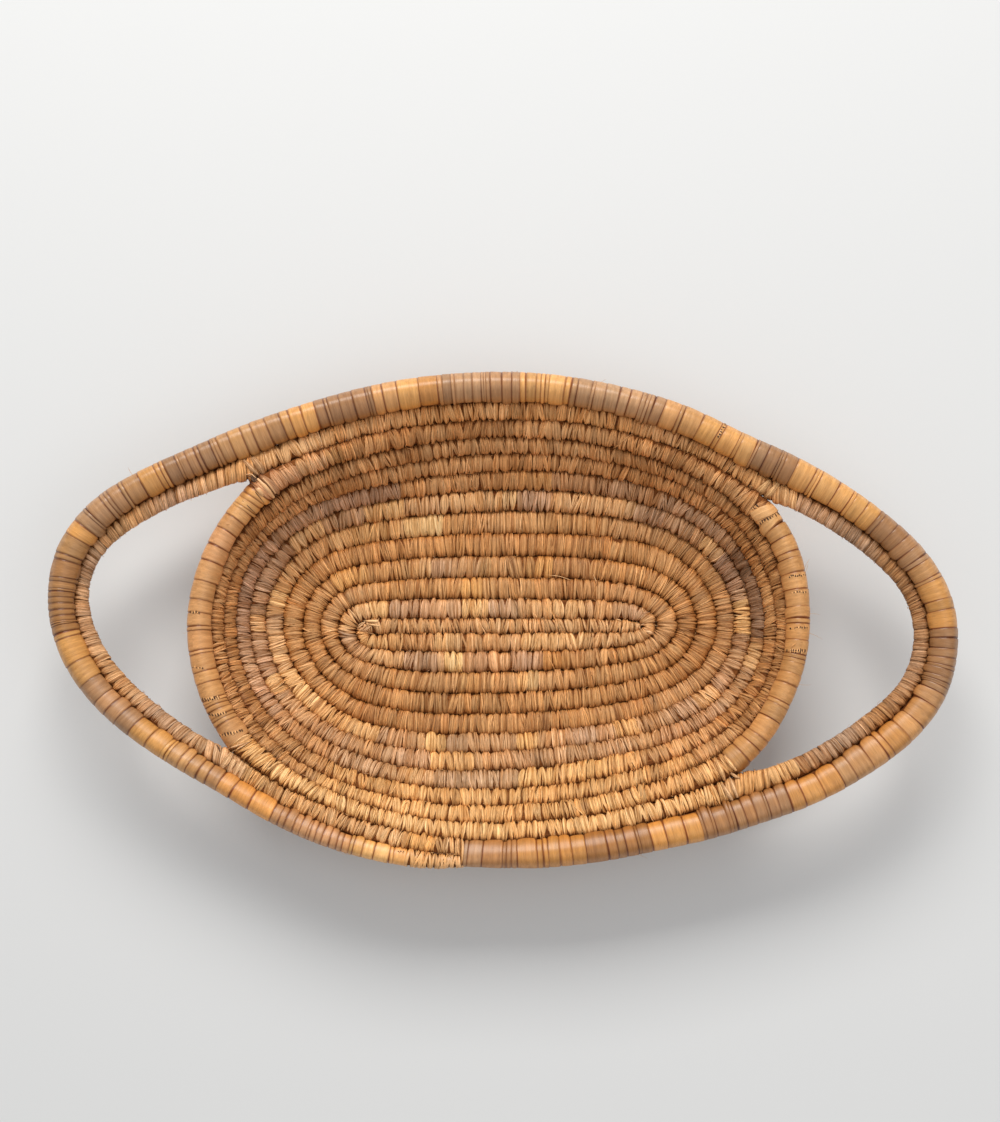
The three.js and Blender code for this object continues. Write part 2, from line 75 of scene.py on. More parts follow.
# ------------------------------------------------------------------ the coil's route
# x, y, z, greatest half width and row number of each station, from the start of the coil to its
# tail. Row 0 is the start row; .5 marks the left half of a round; 11 is the inner row of the
# handles and 12 the rim.
STATIONS = [
    (90.4, -2.8, 6, 5.4, 0), (66.2, -2.8, 6, 5.4, 0), (42.2, -2.8, 6, 5.4, 0), (20.2, -2.8, 6, 5.4, 0),
    (-1.8, -2.8, 6, 5.4, 0), (-23.8, -2.8, 6, 5.4, 0), (-45.8, -2.8, 6, 5.4, 0), (-67.8, -2.8, 6, 5.4, 0),
    (-85.8, -2.8, 6, 5.4, 0), (-88.5, -3.5, 6, 5.4, 0), (-90.5, -5.5, 6, 5.4, 0), (-91.3, -8.1, 6, 5.4, 0),
    (-90.5, -10.8, 6, 5.4, 0), (-88.5, -12.8, 6, 5.4, 0), (-85.8, -13.5, 6, 5.4, 0), (-67.8, -13.5, 6, 7.2, 0.5),
    (-45.8, -13.5, 6, 7.2, 0.5), (-23.8, -13.5, 6, 7.2, 0.5), (-1.8, -13.5, 6, 7.2, 1), (20.2, -13.1, 6, 7.2, 1),
    (42.2, -12.9, 6, 7.2, 1), (64.2, -12.2, 6, 7.2, 1), (85.2, -10.8, 6, 7.2, 1), (87.2, -10.3, 6, 7.2, 1),
    (89.2, -9.7, 6, 7.2, 1), (91.4, -9, 6, 7.2, 1), (94, -7.9, 6, 7.2, 1), (96.5, -5.8, 6, 7.2, 1),
    (96.9, -2.8, 6, 7.2, 1), (96.6, 0.3, 6, 7.2, 1), (94.5, 2.5, 6, 7.2, 1), (92.1, 4.1, 6, 7.2, 1),
    (89.8, 5.1, 6, 7.2, 1), (87.5, 5.8, 6, 7.2, 1), (85.2, 6.4, 6, 7.2, 1), (64.2, 7.9, 6, 7.2, 1),
    (42.2, 8.4, 6, 7.2, 1), (20.2, 8.5, 6, 7.2, 1), (-1.8, 8.8, 6, 7.2, 1), (-23.8, 8.5, 6, 7.2, 1.5),
    (-45.8, 8.7, 6, 7.2, 1.5), (-67.8, 8.4, 6, 7.2, 1.5), (-87.8, 7.7, 6, 7.2, 1.5), (-90.6, 7.5, 6, 7.2, 1.5),
    (-93.6, 7.2, 6, 7.2, 1.5), (-96.9, 6.3, 6, 7.2, 1.5), (-100.5, 4.5, 6, 7.2, 1.5), (-102.3, 1.1, 6, 7.2, 1.5),
    (-103.3, -2.8, 6, 7.2, 1.5), (-103.1, -6.9, 6, 7.2, 1.5), (-102.1, -11, 6, 7.2, 1.5), (-99.9, -14.9, 6, 7.2, 1.5),
    (-96.8, -18.5, 6, 7.2, 1.5), (-92.6, -20.6, 6, 7.2, 1.5), (-87.8, -21.8, 6, 7.2, 1.5), (-67.8, -24.6, 6, 7.2, 1.5),
    (-45.8, -26, 6, 7.2, 1.5), (-23.8, -26.1, 6, 7.2, 1.5), (-1.8, -25.8, 6, 7.2, 1.5), (20.2, -25, 6, 7.2, 2),
    (42.2, -24.4, 6, 7.2, 2), (64.2, -22.7, 6, 7.2, 2), (85.2, -19.5, 6, 7.2, 2), (89.4, -18.6, 6, 7.2, 2),
    (93.8, -17.6, 6, 7.2, 2), (98.4, -16, 6, 7.2, 2), (102.7, -12.9, 6, 7.2, 2), (106.8, -8.6, 6, 7.2, 2),
    (108.4, -2.8, 6, 7.2, 2), (107.9, 3.3, 6, 7.2, 2), (104.7, 8.4, 6, 7.2, 2), (100.3, 12.3, 6, 7.2, 2),
    (95.2, 14.6, 6, 7.2, 2), (90.3, 16.2, 6, 7.2, 2), (85.2, 17.4, 6, 7.2, 2), (64.2, 20.7, 6, 7.2, 2),
    (42.2, 21.7, 6, 7.2, 2), (20.2, 21.8, 6, 7.2, 2), (-1.8, 22.3, 6, 7.2, 2), (-23.8, 22.1, 6, 7.2, 2.5),
    (-45.8, 22.2, 6, 7.2, 2.5), (-67.8, 21, 6, 7.2, 2.5), (-87.8, 19.1, 6, 7.2, 2.5), (-93.5, 18.4, 6, 7.2, 2.5),
    (-99.2, 16.9, 6, 7.2, 2.5), (-104.9, 14.3, 6, 7.2, 2.5), (-109.8, 9.9, 6, 7.2, 2.5), (-112.5, 3.8, 6, 7.2, 2.5),
    (-113.9, -2.8, 6, 7.2, 2.5), (-112.9, -9.5, 6, 7.2, 2.5), (-110.7, -16, 6, 7.2, 2.5), (-106.6, -21.6, 6, 7.2, 2.5),
    (-101.3, -26.2, 6, 7.2, 2.5), (-95, -29.7, 6, 7.2, 2.5), (-87.8, -32.1, 6, 7.2, 2.5), (-67.8, -37.4, 6, 7.2, 2.5),
    (-45.8, -39.8, 6, 7.2, 2.5), (-23.8, -40.1, 6, 7.2, 2.5), (-1.8, -39.4, 6, 7.2, 2.5), (20.2, -38.9, 6, 7.2, 3),
    (42.2, -37.6, 6, 7.2, 3), (64.2, -35.3, 6, 7.2, 3), (85.2, -31.6, 6, 7.2, 3), (92.5, -30.1, 6, 7.2, 3),
    (99.6, -27.7, 6, 7.2, 3), (106.4, -24, 6, 7.2, 3), (112.9, -18.8, 6, 7.2, 3), (118.3, -11.7, 6, 7.2, 3),
    (120.9, -2.8, 6, 7.2, 3), (120, 6.5, 6, 7.2, 3), (116, 15, 6, 7.2, 3), (109.5, 21.5, 6, 7.2, 3),
    (101.8, 26, 6, 7.2, 3), (93.7, 29.1, 6, 7.2, 3), (85.2, 31.1, 6, 7.2, 3), (64.2, 34.1, 6, 7.2, 3),
    (42.2, 35.6, 6, 7.2, 3), (20.2, 36, 6, 7.2, 3), (-1.8, 36.2, 6, 7.2, 3), (-23.8, 36.1, 6, 7.2, 3.5),
    (-45.8, 35.8, 6, 7.2, 3.5), (-67.8, 34.3, 6, 7.2, 3.5), (-87.8, 31.7, 6, 7.2, 3.5), (-96.7, 30.3, 6, 7.2, 3.5),
    (-105.2, 27.4, 6, 7.2, 3.5), (-113, 22.4, 6, 7.2, 3.5), (-119.6, 15.5, 6, 7.2, 3.5), (-123.4, 6.8, 6, 7.2, 3.5),
    (-124.9, -2.8, 6, 7.2, 3.5), (-123.6, -12.4, 6, 7.2, 3.5), (-119.9, -21.3, 6, 7.2, 3.5), (-114.6, -29.6, 6, 7.2, 3.5),
    (-107, -36.1, 6, 7.2, 3.5), (-98.2, -41.5, 6, 7.2, 3.5), (-87.8, -45.8, 6, 7.2, 3.5), (-67.8, -50.5, 6, 7.2, 3.5),
    (-45.8, -52.9, 6, 7.2, 3.5), (-23.8, -53.4, 6, 7.2, 3.5), (-1.8, -53, 6, 7.2, 3.5), (20.2, -52.2, 6, 7.2, 4),
    (42.2, -50.6, 6, 7.2, 4), (64.2, -48.1, 6, 7.2, 4), (85.2, -44.3, 6, 7.2, 4), (95.6, -41.7, 6, 7.2, 4),
    (105.5, -37.9, 6, 7.2, 4), (115.1, -32.7, 6, 7.2, 4), (124, -25.2, 6, 7.2, 4), (130.6, -15, 6, 7.2, 4),
    (133.5, -2.8, 6, 7.2, 4), (132.5, 9.9, 6, 7.2, 4), (127.5, 21.6, 6, 7.2, 4), (118.9, 30.9, 6, 7.2, 4),
    (108.8, 38.1, 6, 7.2, 4), (97.5, 43, 6, 7.2, 4), (85.2, 45.9, 6, 7.2, 4), (64.2, 49, 6, 7.2, 4),
    (42.2, 50.5, 6, 7.2, 4), (20.2, 51, 6, 7.2, 4), (-1.8, 50.8, 6, 7.2, 4), (-23.8, 50.4, 6, 7.2, 4.5),
    (-45.8, 49.8, 6, 7.2, 4.5), (-67.8, 48.2, 6, 7.2, 4.5), (-87.8, 45.2, 6, 7.2, 4.5), (-100, 42.9, 6, 7.2, 4.5),
    (-111.9, 38.9, 6, 7.2, 4.5), (-122.3, 31.7, 6, 7.2, 4.5), (-130.6, 21.9, 6, 7.2, 4.5), (-135.9, 10.1, 6, 7.2, 4.5),
    (-137.3, -2.8, 6, 7.2, 4.5), (-135, -15.5, 6, 7.2, 4.5), (-129.8, -27, 6, 7.2, 4.5), (-122.4, -37.4, 6, 7.2, 4.5),
    (-112.9, -46.2, 6, 7.2, 4.5), (-101.5, -53.8, 6, 7.2, 4.5), (-87.8, -59.6, 6, 7.2, 4.5), (-67.8, -63.9, 6, 7.2, 4.5),
    (-45.8, -66.3, 6, 7.2, 4.5), (-23.8, -66.9, 6, 7.2, 4.5), (-1.8, -66.6, 6, 7.2, 4.5), (20.2, -65.4, 6, 7.2, 5),
    (42.2, -63.6, 6, 7.2, 5), (64.2, -61.1, 6, 7.2, 5), (85.2, -57, 6, 7.2, 5), (98.8, -53.6, 6, 7.2, 5),
    (111.7, -48.6, 6, 7.2, 5), (124.1, -41.7, 6, 7.2, 5), (135.2, -31.6, 6, 7.2, 5), (143.1, -18.3, 6, 7.2, 5),
    (146.5, -2.8, 6, 7.2, 5), (145.3, 13.3, 6, 7.2, 5), (139, 28.2, 6, 7.2, 5), (128.5, 40.5, 6, 7.2, 5),
    (115.9, 50.4, 6, 7.2, 5), (101.2, 57.1, 6, 7.2, 5), (85.2, 61.1, 6, 7.2, 5), (64.2, 64.3, 6, 7.2, 5),
    (42.2, 65.7, 6, 7.2, 5), (20.2, 66.1, 6, 7.2, 5), (-1.8, 65.8, 6, 7.2, 5), (-23.8, 65.3, 6, 7.2, 5.5),
    (-45.8, 64, 6.1, 7.2, 5.5), (-67.8, 62.1, 6.2, 7.2, 5.5), (-87.8, 59.2, 6.3, 7.2, 5.5), (-103.6, 56, 6.3, 7.2, 5.5),
    (-118.5, 50.3, 6.2, 7.2, 5.5), (-131.7, 41.1, 6.2, 7.2, 5.5), (-142.1, 28.5, 6.1, 7.2, 5.5), (-148.7, 13.5, 6, 7.2, 5.5),
    (-150, -2.8, 6, 7.2, 5.5), (-146.8, -18.6, 6, 7.2, 5.5), (-140.3, -33.1, 6.2, 7.2, 5.5), (-130.7, -45.7, 6.4, 7.2, 5.5),
    (-118.9, -56.6, 6.8, 7.2, 5.5), (-104.7, -65.8, 7.2, 7.2, 5.5), (-87.8, -72.4, 7.7, 7.2, 5.5), (-67.8, -77, 8.3, 7.2, 5.5),
    (-45.8, -79.5, 8.9, 7.2, 5.5), (-23.8, -80.1, 9.3, 7.2, 5.5), (-1.8, -79.8, 9.5, 7.2, 5.5), (20.2, -78.8, 9.6, 6.7, 6),
    (42.2, -77, 10, 6.7, 6), (64.2, -74.5, 10.6, 6.7, 6), (85.2, -70.2, 11.2, 6.7, 6), (102.2, -66.1, 11.8, 6.7, 6),
    (118.1, -59.8, 12.4, 6.7, 6), (133, -50.6, 12.8, 6.7, 6), (146, -37.9, 13.2, 6.7, 6), (155, -21.5, 13.4, 6.7, 6),
    (158.6, -2.8, 13.5, 6.7, 6), (157, 16.4, 13.4, 6.7, 6), (149.4, 34.2, 13.2, 6.7, 6), (137.5, 49.5, 12.8, 6.7, 6),
    (122.2, 61.3, 12.4, 6.7, 6), (104.6, 69.5, 11.8, 6.7, 6), (85.2, 74.5, 11.2, 6.7, 6), (64.2, 78.1, 10.6, 6.7, 6),
    (42.2, 80, 10, 6.7, 6), (20.2, 81.2, 9.6, 6.7, 6), (-1.8, 81.1, 9.5, 6.7, 6), (-23.8, 80.4, 9.7, 6.7, 6.5),
    (-45.8, 78.4, 10.2, 6.7, 6.5), (-67.8, 76, 10.9, 6.7, 6.5), (-87.8, 73.2, 11.6, 6.7, 6.5), (-107, 68.9, 12.2, 6.7, 6.5),
    (-124.7, 61, 12.7, 6.7, 6.5), (-140.3, 49.7, 13.1, 6.7, 6.5), (-152.8, 34.7, 13.3, 6.7, 6.5), (-160.3, 16.6, 13.5, 6.7, 6.5),
    (-161.6, -2.8, 13.5, 6.7, 6.5), (-158.3, -21.7, 13.5, 6.7, 6.5), (-150.8, -39.1, 13.5, 6.7, 6.5), (-139.3, -54.3, 13.5, 6.7, 6.5),
    (-124.9, -67.1, 13.6, 6.7, 6.5), (-107.7, -77.1, 13.7, 6.7, 6.5), (-87.8, -84, 13.9, 6.7, 6.5), (-67.8, -88.7, 14.3, 6.7, 6.5),
    (-45.8, -91.8, 14.6, 6.7, 6.5), (-23.8, -92, 14.9, 6.7, 6.5), (-1.8, -91.3, 15, 6.7, 6.5), (20.2, -90.1, 15.2, 6.7, 7),
    (42.2, -87.7, 15.9, 6.7, 7), (64.2, -84.8, 16.9, 6.7, 7), (85.2, -80.8, 18.1, 6.7, 7), (104.8, -76.1, 19, 6.7, 7),
    (123.4, -69, 20, 6.7, 7), (140.8, -58.4, 20.8, 6.7, 7), (154.8, -43, 21.5, 6.7, 7), (163.8, -23.9, 21.9, 6.7, 7),
    (167.4, -2.8, 22, 6.7, 7), (164.9, 18.6, 21.9, 6.7, 7), (157.1, 38.7, 21.5, 6.7, 7), (144.2, 56.2, 20.8, 6.7, 7),
    (127, 69.6, 20, 6.7, 7), (107.3, 79.5, 19, 6.7, 7), (85.2, 86.3, 18.1, 6.7, 7), (64.2, 90.6, 16.9, 6.7, 7),
    (42.2, 92.9, 15.9, 6.7, 7), (20.2, 94.2, 15.2, 6.7, 7), (-1.8, 94, 15, 6.7, 7), (-23.8, 92.9, 15.3, 6.7, 7.5),
    (-45.8, 90.5, 16.2, 6.7, 7.5), (-67.8, 87.2, 17.4, 6.7, 7.5), (-87.8, 83.3, 18.6, 6.7, 7.5), (-109.5, 78, 19.6, 6.7, 7.5),
    (-129.3, 69, 20.5, 6.7, 7.5), (-146.7, 56.1, 21.2, 6.7, 7.5), (-160.3, 39, 21.7, 6.7, 7.5), (-168.6, 18.8, 21.9, 6.7, 7.5),
    (-170.1, -2.8, 22, 6.7, 7.5), (-166.5, -23.9, 21.9, 6.7, 7.5), (-158.6, -43.6, 21.8, 6.7, 7.5), (-145.8, -60.8, 21.7, 6.7, 7.5),
    (-129.7, -75.4, 21.6, 6.7, 7.5), (-110.4, -87.1, 21.6, 6.7, 7.5), (-87.8, -95.6, 21.7, 6.7, 7.5), (-67.8, -100.7, 21.9, 6.7, 7.5),
    (-45.8, -103.7, 22.2, 6.7, 7.5), (-23.8, -104.4, 22.4, 6.7, 7.5), (-1.8, -104.1, 22.5, 6.7, 7.5), (20.2, -102.7, 22.8, 6.7, 8),
    (42.2, -100.2, 23.7, 6.7, 8), (64.2, -96.5, 25.1, 6.7, 8), (85.2, -91.9, 26.7, 6.7, 8), (107.5, -85.9, 28, 6.7, 8),
    (128, -76.9, 29.3, 6.7, 8), (146.4, -64, 30.4, 6.7, 8), (161.3, -46.7, 31.3, 6.7, 8), (170.9, -25.8, 31.8, 6.7, 8),
    (174.3, -2.8, 32, 6.7, 8), (171.4, 20.3, 31.8, 6.7, 8), (162.9, 42, 31.3, 6.7, 8), (149.7, 61.7, 30.4, 6.7, 8),
    (131.4, 77.3, 29.3, 6.7, 8), (109.7, 88.7, 28, 6.7, 8), (85.2, 96.5, 26.7, 6.7, 8), (64.2, 101.2, 25.1, 6.7, 8),
    (42.2, 104.5, 23.7, 6.7, 8), (20.2, 105.8, 22.8, 6.7, 8), (-1.8, 105.4, 22.5, 6.7, 8), (-23.8, 103.5, 22.9, 6.7, 8.5),
    (-45.8, 101.1, 24, 6.7, 8.5), (-67.8, 97.6, 25.6, 6.7, 8.5), (-87.8, 92.6, 27.2, 6.7, 8.5), (-111.6, 86.1, 28.6, 6.7, 8.5),
    (-133.3, 75.9, 29.8, 6.7, 8.5), (-151.9, 61.3, 30.8, 6.7, 8.5), (-166.5, 42.6, 31.5, 6.7, 8.5), (-174.9, 20.5, 31.9, 6.7, 8.5),
    (-177.1, -2.8, 32, 6.7, 8.5), (-174.3, -26, 31.9, 6.7, 8.5), (-165.7, -47.8, 31.7, 6.7, 8.5), (-152.4, -67.4, 31.3, 6.7, 8.5),
    (-134.5, -83.6, 31, 6.7, 8.5), (-112.9, -96.4, 30.7, 6.7, 8.5), (-87.8, -105.4, 30.5, 6.7, 8.5), (-67.8, -110.2, 30.4, 6.7, 8.5),
    (-45.8, -113.3, 30.4, 6.7, 8.5), (-23.8, -114.8, 30.5, 6.7, 8.5), (-1.8, -114.8, 30.5, 6.7, 8.5), (20.2, -114.2, 30.9, 6.7, 9),
    (42.2, -112, 32, 6.7, 9), (64.2, -108.2, 33.8, 6.7, 9), (85.2, -103.2, 35.7, 6.7, 9), (110.1, -95.6, 37.4, 6.7, 9),
    (132.3, -84.5, 39.1, 6.7, 9), (151.8, -69.4, 40.5, 6.7, 9), (167.3, -50.2, 41.6, 6.7, 9), (176.5, -27.3, 42.3, 6.7, 9),
    (179.1, -2.8, 42.5, 6.7, 9), (176.3, 21.6, 42.3, 6.7, 9), (167.6, 44.8, 41.6, 6.7, 9), (153.5, 65.5, 40.5, 6.7, 9),
    (134.2, 82, 39.1, 6.7, 9), (111.3, 94.8, 37.4, 6.7, 9), (85.2, 103.9, 35.7, 6.7, 9), (64.2, 108.7, 33.8, 6.7, 9),
    (42.2, 112.4, 32, 6.7, 9), (20.2, 114.3, 30.9, 6.7, 9), (-1.8, 114.7, 30.5, 6.7, 9), (-23.8, 113.4, 31, 6.7, 9.5),
    (-45.8, 110.2, 32.3, 6.7, 9.5), (-67.8, 106.2, 34.2, 6.7, 9.5), (-87.8, 101.4, 36.3, 6.7, 9.5), (-113.4, 92.7, 38, 6.7, 9.5),
    (-135.6, 80, 39.5, 6.7, 9.5), (-154.6, 64, 40.8, 6.7, 9.5), (-170, 44.6, 41.8, 6.7, 9.5), (-179.9, 21.9, 42.3, 6.7, 9.5),
    (-182.8, -2.8, 42.5, 6.7, 9.5), (-179.9, -27.5, 42.3, 6.7, 9.5), (-171.5, -51.1, 41.9, 6.7, 9.5), (-157.5, -72.5, 41.3, 6.7, 9.5),
    (-138.3, -90.2, 40.7, 6.7, 9.5), (-115, -104.2, 40, 6.7, 9.5), (-87.8, -114.2, 39.4, 6.7, 9.5), (-67.8, -119.4, 38.8, 6.7, 9.5),
    (-45.8, -122.9, 38.3, 6.7, 9.5), (-23.8, -124.7, 38.1, 6.7, 9.5), (-1.8, -124.6, 38, 6.7, 9.5), (20.2, -123.4, 38.5, 6.7, 10),
    (42.2, -121, 39.9, 6.8, 10), (64.2, -117.8, 41.9, 6.9, 10), (85.2, -112.7, 44.3, 7, 10), (112.5, -104.6, 46.4, 7.2, 10),
    (137.3, -93, 48.3, 7.3, 10), (157.3, -74.9, 50, 7.4, 10), (171.1, -52.4, 51.4, 7.4, 10), (180.3, -28.3, 52.2, 7.5, 10),
    (183.6, -2.8, 52.5, 7.5, 10), (182.1, 23.2, 52.2, 7.5, 10), (174.7, 48.9, 51.4, 7.4, 10), (158.2, 70.2, 50, 7.4, 10),
    (137.2, 87.3, 48.3, 7.3, 10), (113, 101, 46.4, 7.2, 10), (85.2, 111.3, 44.3, 7, 10), (64.2, 117.3, 41.9, 6.9, 10),
    (42.2, 121.5, 39.9, 6.8, 10), (20.2, 123.4, 38.5, 6.7, 10), (-1.8, 123.3, 38, 6.7, 10), (-23.8, 122.5, 38.6, 6.7, 10.5),
    (-45.8, 119.9, 40.1, 6.8, 10.5), (-67.8, 115.3, 42.4, 6.9, 10.5), (-87.8, 110, 44.8, 7, 10.5), (-115.5, 100.6, 46.9, 7.2, 10.5),
    (-140.4, 88.3, 48.8, 7.3, 10.5), (-160.9, 70.3, 50.4, 7.4, 10.5), (-175.6, 47.9, 51.6, 7.4, 10.5), (-184.9, 23.2, 52.3, 7.5, 10.5),
    (-188.6, -2.8, 52.5, 7.5, 10.5), (-185.7, -29, 52.3, 7.5, 10.5), (-177.1, -54.3, 51.7, 7.4, 10.5), (-162.6, -77.6, 50.9, 7.4, 10.5),
    (-141.6, -96, 49.8, 7.3, 10.5), (-116.6, -110.1, 48.8, 7.2, 10.5), (-87.8, -121.8, 47.7, 7, 10.5), (-67.8, -127.7, 46.6, 6.9, 10.5),
    (-45.8, -131.9, 45.7, 6.8, 10.5), (-23.8, -134.2, 45.2, 6.7, 10.5), (-1.8, -134.6, 45, 6.7, 10.5), (18.2, -133.4, 45.2, 6.4, 11),
    (35.2, -131.9, 45.5, 6.4, 11), (52.2, -129.8, 46, 6.4, 11), (69, -126.6, 46.6, 6.4, 11), (85.6, -122.4, 47.4, 6.4, 11),
    (102.2, -118.1, 48.2, 6.4, 11), (118.7, -113.7, 49.1, 6.3, 11), (135.1, -108.9, 50, 6.2, 11), (151.4, -103.8, 50.9, 6.1, 11),
    (167.8, -98.9, 51.6, 6, 11), (183.7, -92.6, 52.2, 5.9, 11), (198.9, -84.8, 52.8, 5.8, 11), (213.5, -75.9, 53.1, 5.8, 11),
    (227.4, -65.9, 53.3, 5.8, 11), (240.9, -55.4, 53.5, 5.8, 11), (252.1, -42.6, 53.6, 5.8, 11), (259.1, -27, 53.7, 5.8, 11),
    (261.4, -10.1, 53.7, 5.8, 11), (258.8, 6.8, 53.6, 5.8, 11), (251.1, 22, 53.5, 5.8, 11), (239.8, 34.8, 53.4, 5.8, 11),
    (227, 46.1, 53.3, 5.8, 11), (213.2, 56.2, 53, 5.8, 11), (198.8, 65.5, 52.6, 5.9, 11), (183.7, 73.6, 52.1, 5.9, 11),
    (168.1, 80.5, 51.4, 6, 11), (153.3, 89.1, 50.7, 6.1, 11), (139.1, 98.6, 50, 6.3, 11), (124, 106.7, 49.1, 6.4, 11),
    (108.4, 113.7, 48.3, 6.4, 11), (92.4, 119.5, 47.5, 6.4, 11), (76, 124.4, 46.8, 6.4, 11), (59.4, 128.4, 46.2, 6.4, 11),
    (42.5, 131.3, 45.7, 6.4, 11), (25.5, 133, 45.3, 6.4, 11), (8.4, 133.7, 45.1, 6.4, 11), (-8.7, 133.4, 45.1, 6.4, 11),
    (-25.8, 132.2, 45.3, 6.4, 11), (-42.8, 130.4, 45.7, 6.4, 11), (-59.8, 128.2, 46.3, 6.4, 11), (-76.6, 124.8, 46.9, 6.4, 11),
    (-93, 120.2, 47.6, 6.4, 11), (-109.3, 114.9, 48.4, 6.4, 11), (-125.3, 108.8, 49.2, 6.4, 11), (-141.1, 102.3, 50, 6.2, 11),
    (-156.9, 95.8, 50.9, 6.1, 11), (-172.7, 89.3, 51.6, 5.9, 11), (-188.6, 83, 52.3, 5.9, 11), (-204.5, 76.8, 52.8, 5.8, 11),
    (-219.9, 69.3, 53.1, 5.8, 11), (-234.6, 60.4, 53.3, 5.8, 11), (-248.1, 50, 53.5, 5.8, 11), (-258.5, 36.5, 53.6, 5.8, 11),
    (-263.7, 20.3, 53.7, 5.8, 11), (-263.4, 3.3, 53.7, 5.8, 11), (-257.8, -12.9, 53.6, 5.8, 11), (-249.4, -27.7, 53.5, 5.8, 11),
    (-238.6, -41, 53.3, 5.8, 11), (-226.2, -52.8, 52.5, 5.9, 11), (-212.9, -63.6, 51.9, 5.9, 11), (-199.1, -73.7, 51.8, 5.9, 11),
    (-184.4, -82.5, 51.6, 6, 11), (-169.1, -90.1, 51.4, 6.1, 11), (-154.7, -99.3, 51.2, 6.1, 11), (-140.3, -108.6, 51.1, 6.1, 11),
    (-124.8, -115.8, 51.1, 6, 11), (-109, -122.4, 51.1, 6, 11), (-93.3, -129, 51.2, 5.8, 11), (-77, -134.2, 51.4, 5.6, 11),
    (-60.3, -138, 51.6, 5.3, 11), (-43.4, -140.8, 51.9, 5.1, 11), (-26.4, -142.9, 52.1, 4.9, 11), (-12.5, -144.9, 52.4, 6.4, 11.6),
    (18.5, -145.6, 52.9, 8.2, 12), (36.6, -144.3, 53, 8.5, 12), (53.7, -142.3, 53.1, 8.6, 12), (71.6, -139.4, 53.3, 8.6, 12),
    (88.4, -136, 53.4, 8.5, 12), (105.2, -132.7, 53.5, 8.5, 12), (122.4, -129, 53.7, 8.6, 12), (139.8, -123.9, 54, 8.6, 12),
    (156.1, -118.6, 54.4, 8.6, 12), (172.4, -113.4, 54.9, 8.5, 12), (190.1, -106.3, 55.6, 8.5, 12), (206.2, -97.9, 56.3, 8.6, 12),
    (221.7, -88.4, 57.1, 8.7, 12), (236.8, -77.6, 58, 8.9, 12), (250.7, -65.1, 58.8, 8.7, 12), (263.3, -48, 59.7, 8.4, 12),
    (269.5, -29.2, 60.3, 8.6, 12), (270.9, -9.8, 60.8, 8.9, 12), (267.6, 9.5, 61.1, 9.1, 12), (259.2, 27.2, 61.2, 8.7, 12),
    (248, 42.1, 61.1, 8.4, 12), (234.5, 55, 60.8, 8, 12), (220.3, 66.2, 60.5, 8.2, 12), (205.6, 76.1, 60.1, 8.6, 12),
    (190.5, 85.2, 59.7, 8.8, 12), (174.5, 93.7, 59.4, 8.9, 12), (158.4, 100.8, 59.1, 9, 12), (143.7, 107.4, 58.8, 9.1, 12),
    (128.7, 115.5, 58.4, 9, 12), (112.3, 123.4, 58.1, 8.9, 12), (95.7, 129.4, 57.8, 8.7, 12), (78.8, 134.6, 57.4, 8.5, 12),
    (61.8, 138.8, 57, 8.4, 12), (44.4, 142, 56.6, 8.4, 12), (26.4, 144.3, 56.2, 8.6, 12), (8.8, 145.2, 55.9, 8.8, 12),
    (-8.9, 145.2, 55.7, 9, 12), (-26.5, 144.5, 55.6, 9, 12), (-44.5, 142.9, 55.5, 9, 12), (-62, 140.4, 55.4, 9.1, 12),
    (-79.3, 137, 55.4, 9.1, 12), (-96.5, 132.7, 55.5, 9.2, 12), (-113.4, 127.8, 55.6, 9.2, 12), (-130.1, 122.3, 56, 9.2, 12),
    (-146.3, 116.6, 56.4, 9.2, 12), (-162.8, 110.2, 56.9, 9.1, 12), (-179, 103.2, 57.6, 8.8, 12), (-194.5, 96, 58.4, 8.6, 12),
    (-210.4, 88.4, 59.2, 8.8, 12), (-225.9, 79.9, 60, 9, 12), (-241.6, 69.8, 60.8, 9.4, 12), (-255.4, 56.8, 61.4, 9.3, 12),
    (-266.6, 39.8, 61.8, 8.9, 12), (-271.3, 21.1, 61.9, 8.4, 12), (-271.4, 2.6, 61.8, 8, 12), (-267, -16.2, 61.5, 7.7, 12),
    (-258.4, -33.6, 61, 7.5, 12), (-247, -48.4, 60.4, 7.4, 12), (-233.6, -61.3, 59.9, 7.3, 12), (-219.3, -72.5, 59.5, 7, 12),
    (-204.8, -82.5, 59.5, 6.5, 12), (-189.8, -91.9, 59.5, 6.2, 12), (-174.9, -100.3, 59.4, 5.9, 12), (-160.1, -108.9, 59.1, 5.8, 12),
    (-145.3, -117.5, 58.6, 5.9, 12), (-129.6, -125.6, 58, 5.8, 12), (-113.2, -133.1, 57.4, 5.6, 12), (-96.1, -139, 56.8, 5.4, 12),
    (-79.6, -143.6, 56.2, 5.2, 12), (-62.4, -147.6, 55.6, 4.6, 12), (-44, -150.1, 55.2, 4, 12), (-26.4, -150.4, 55, 3.4, 12),
    (-19.8, -150.5, 54.9, 3.2, 12),
]
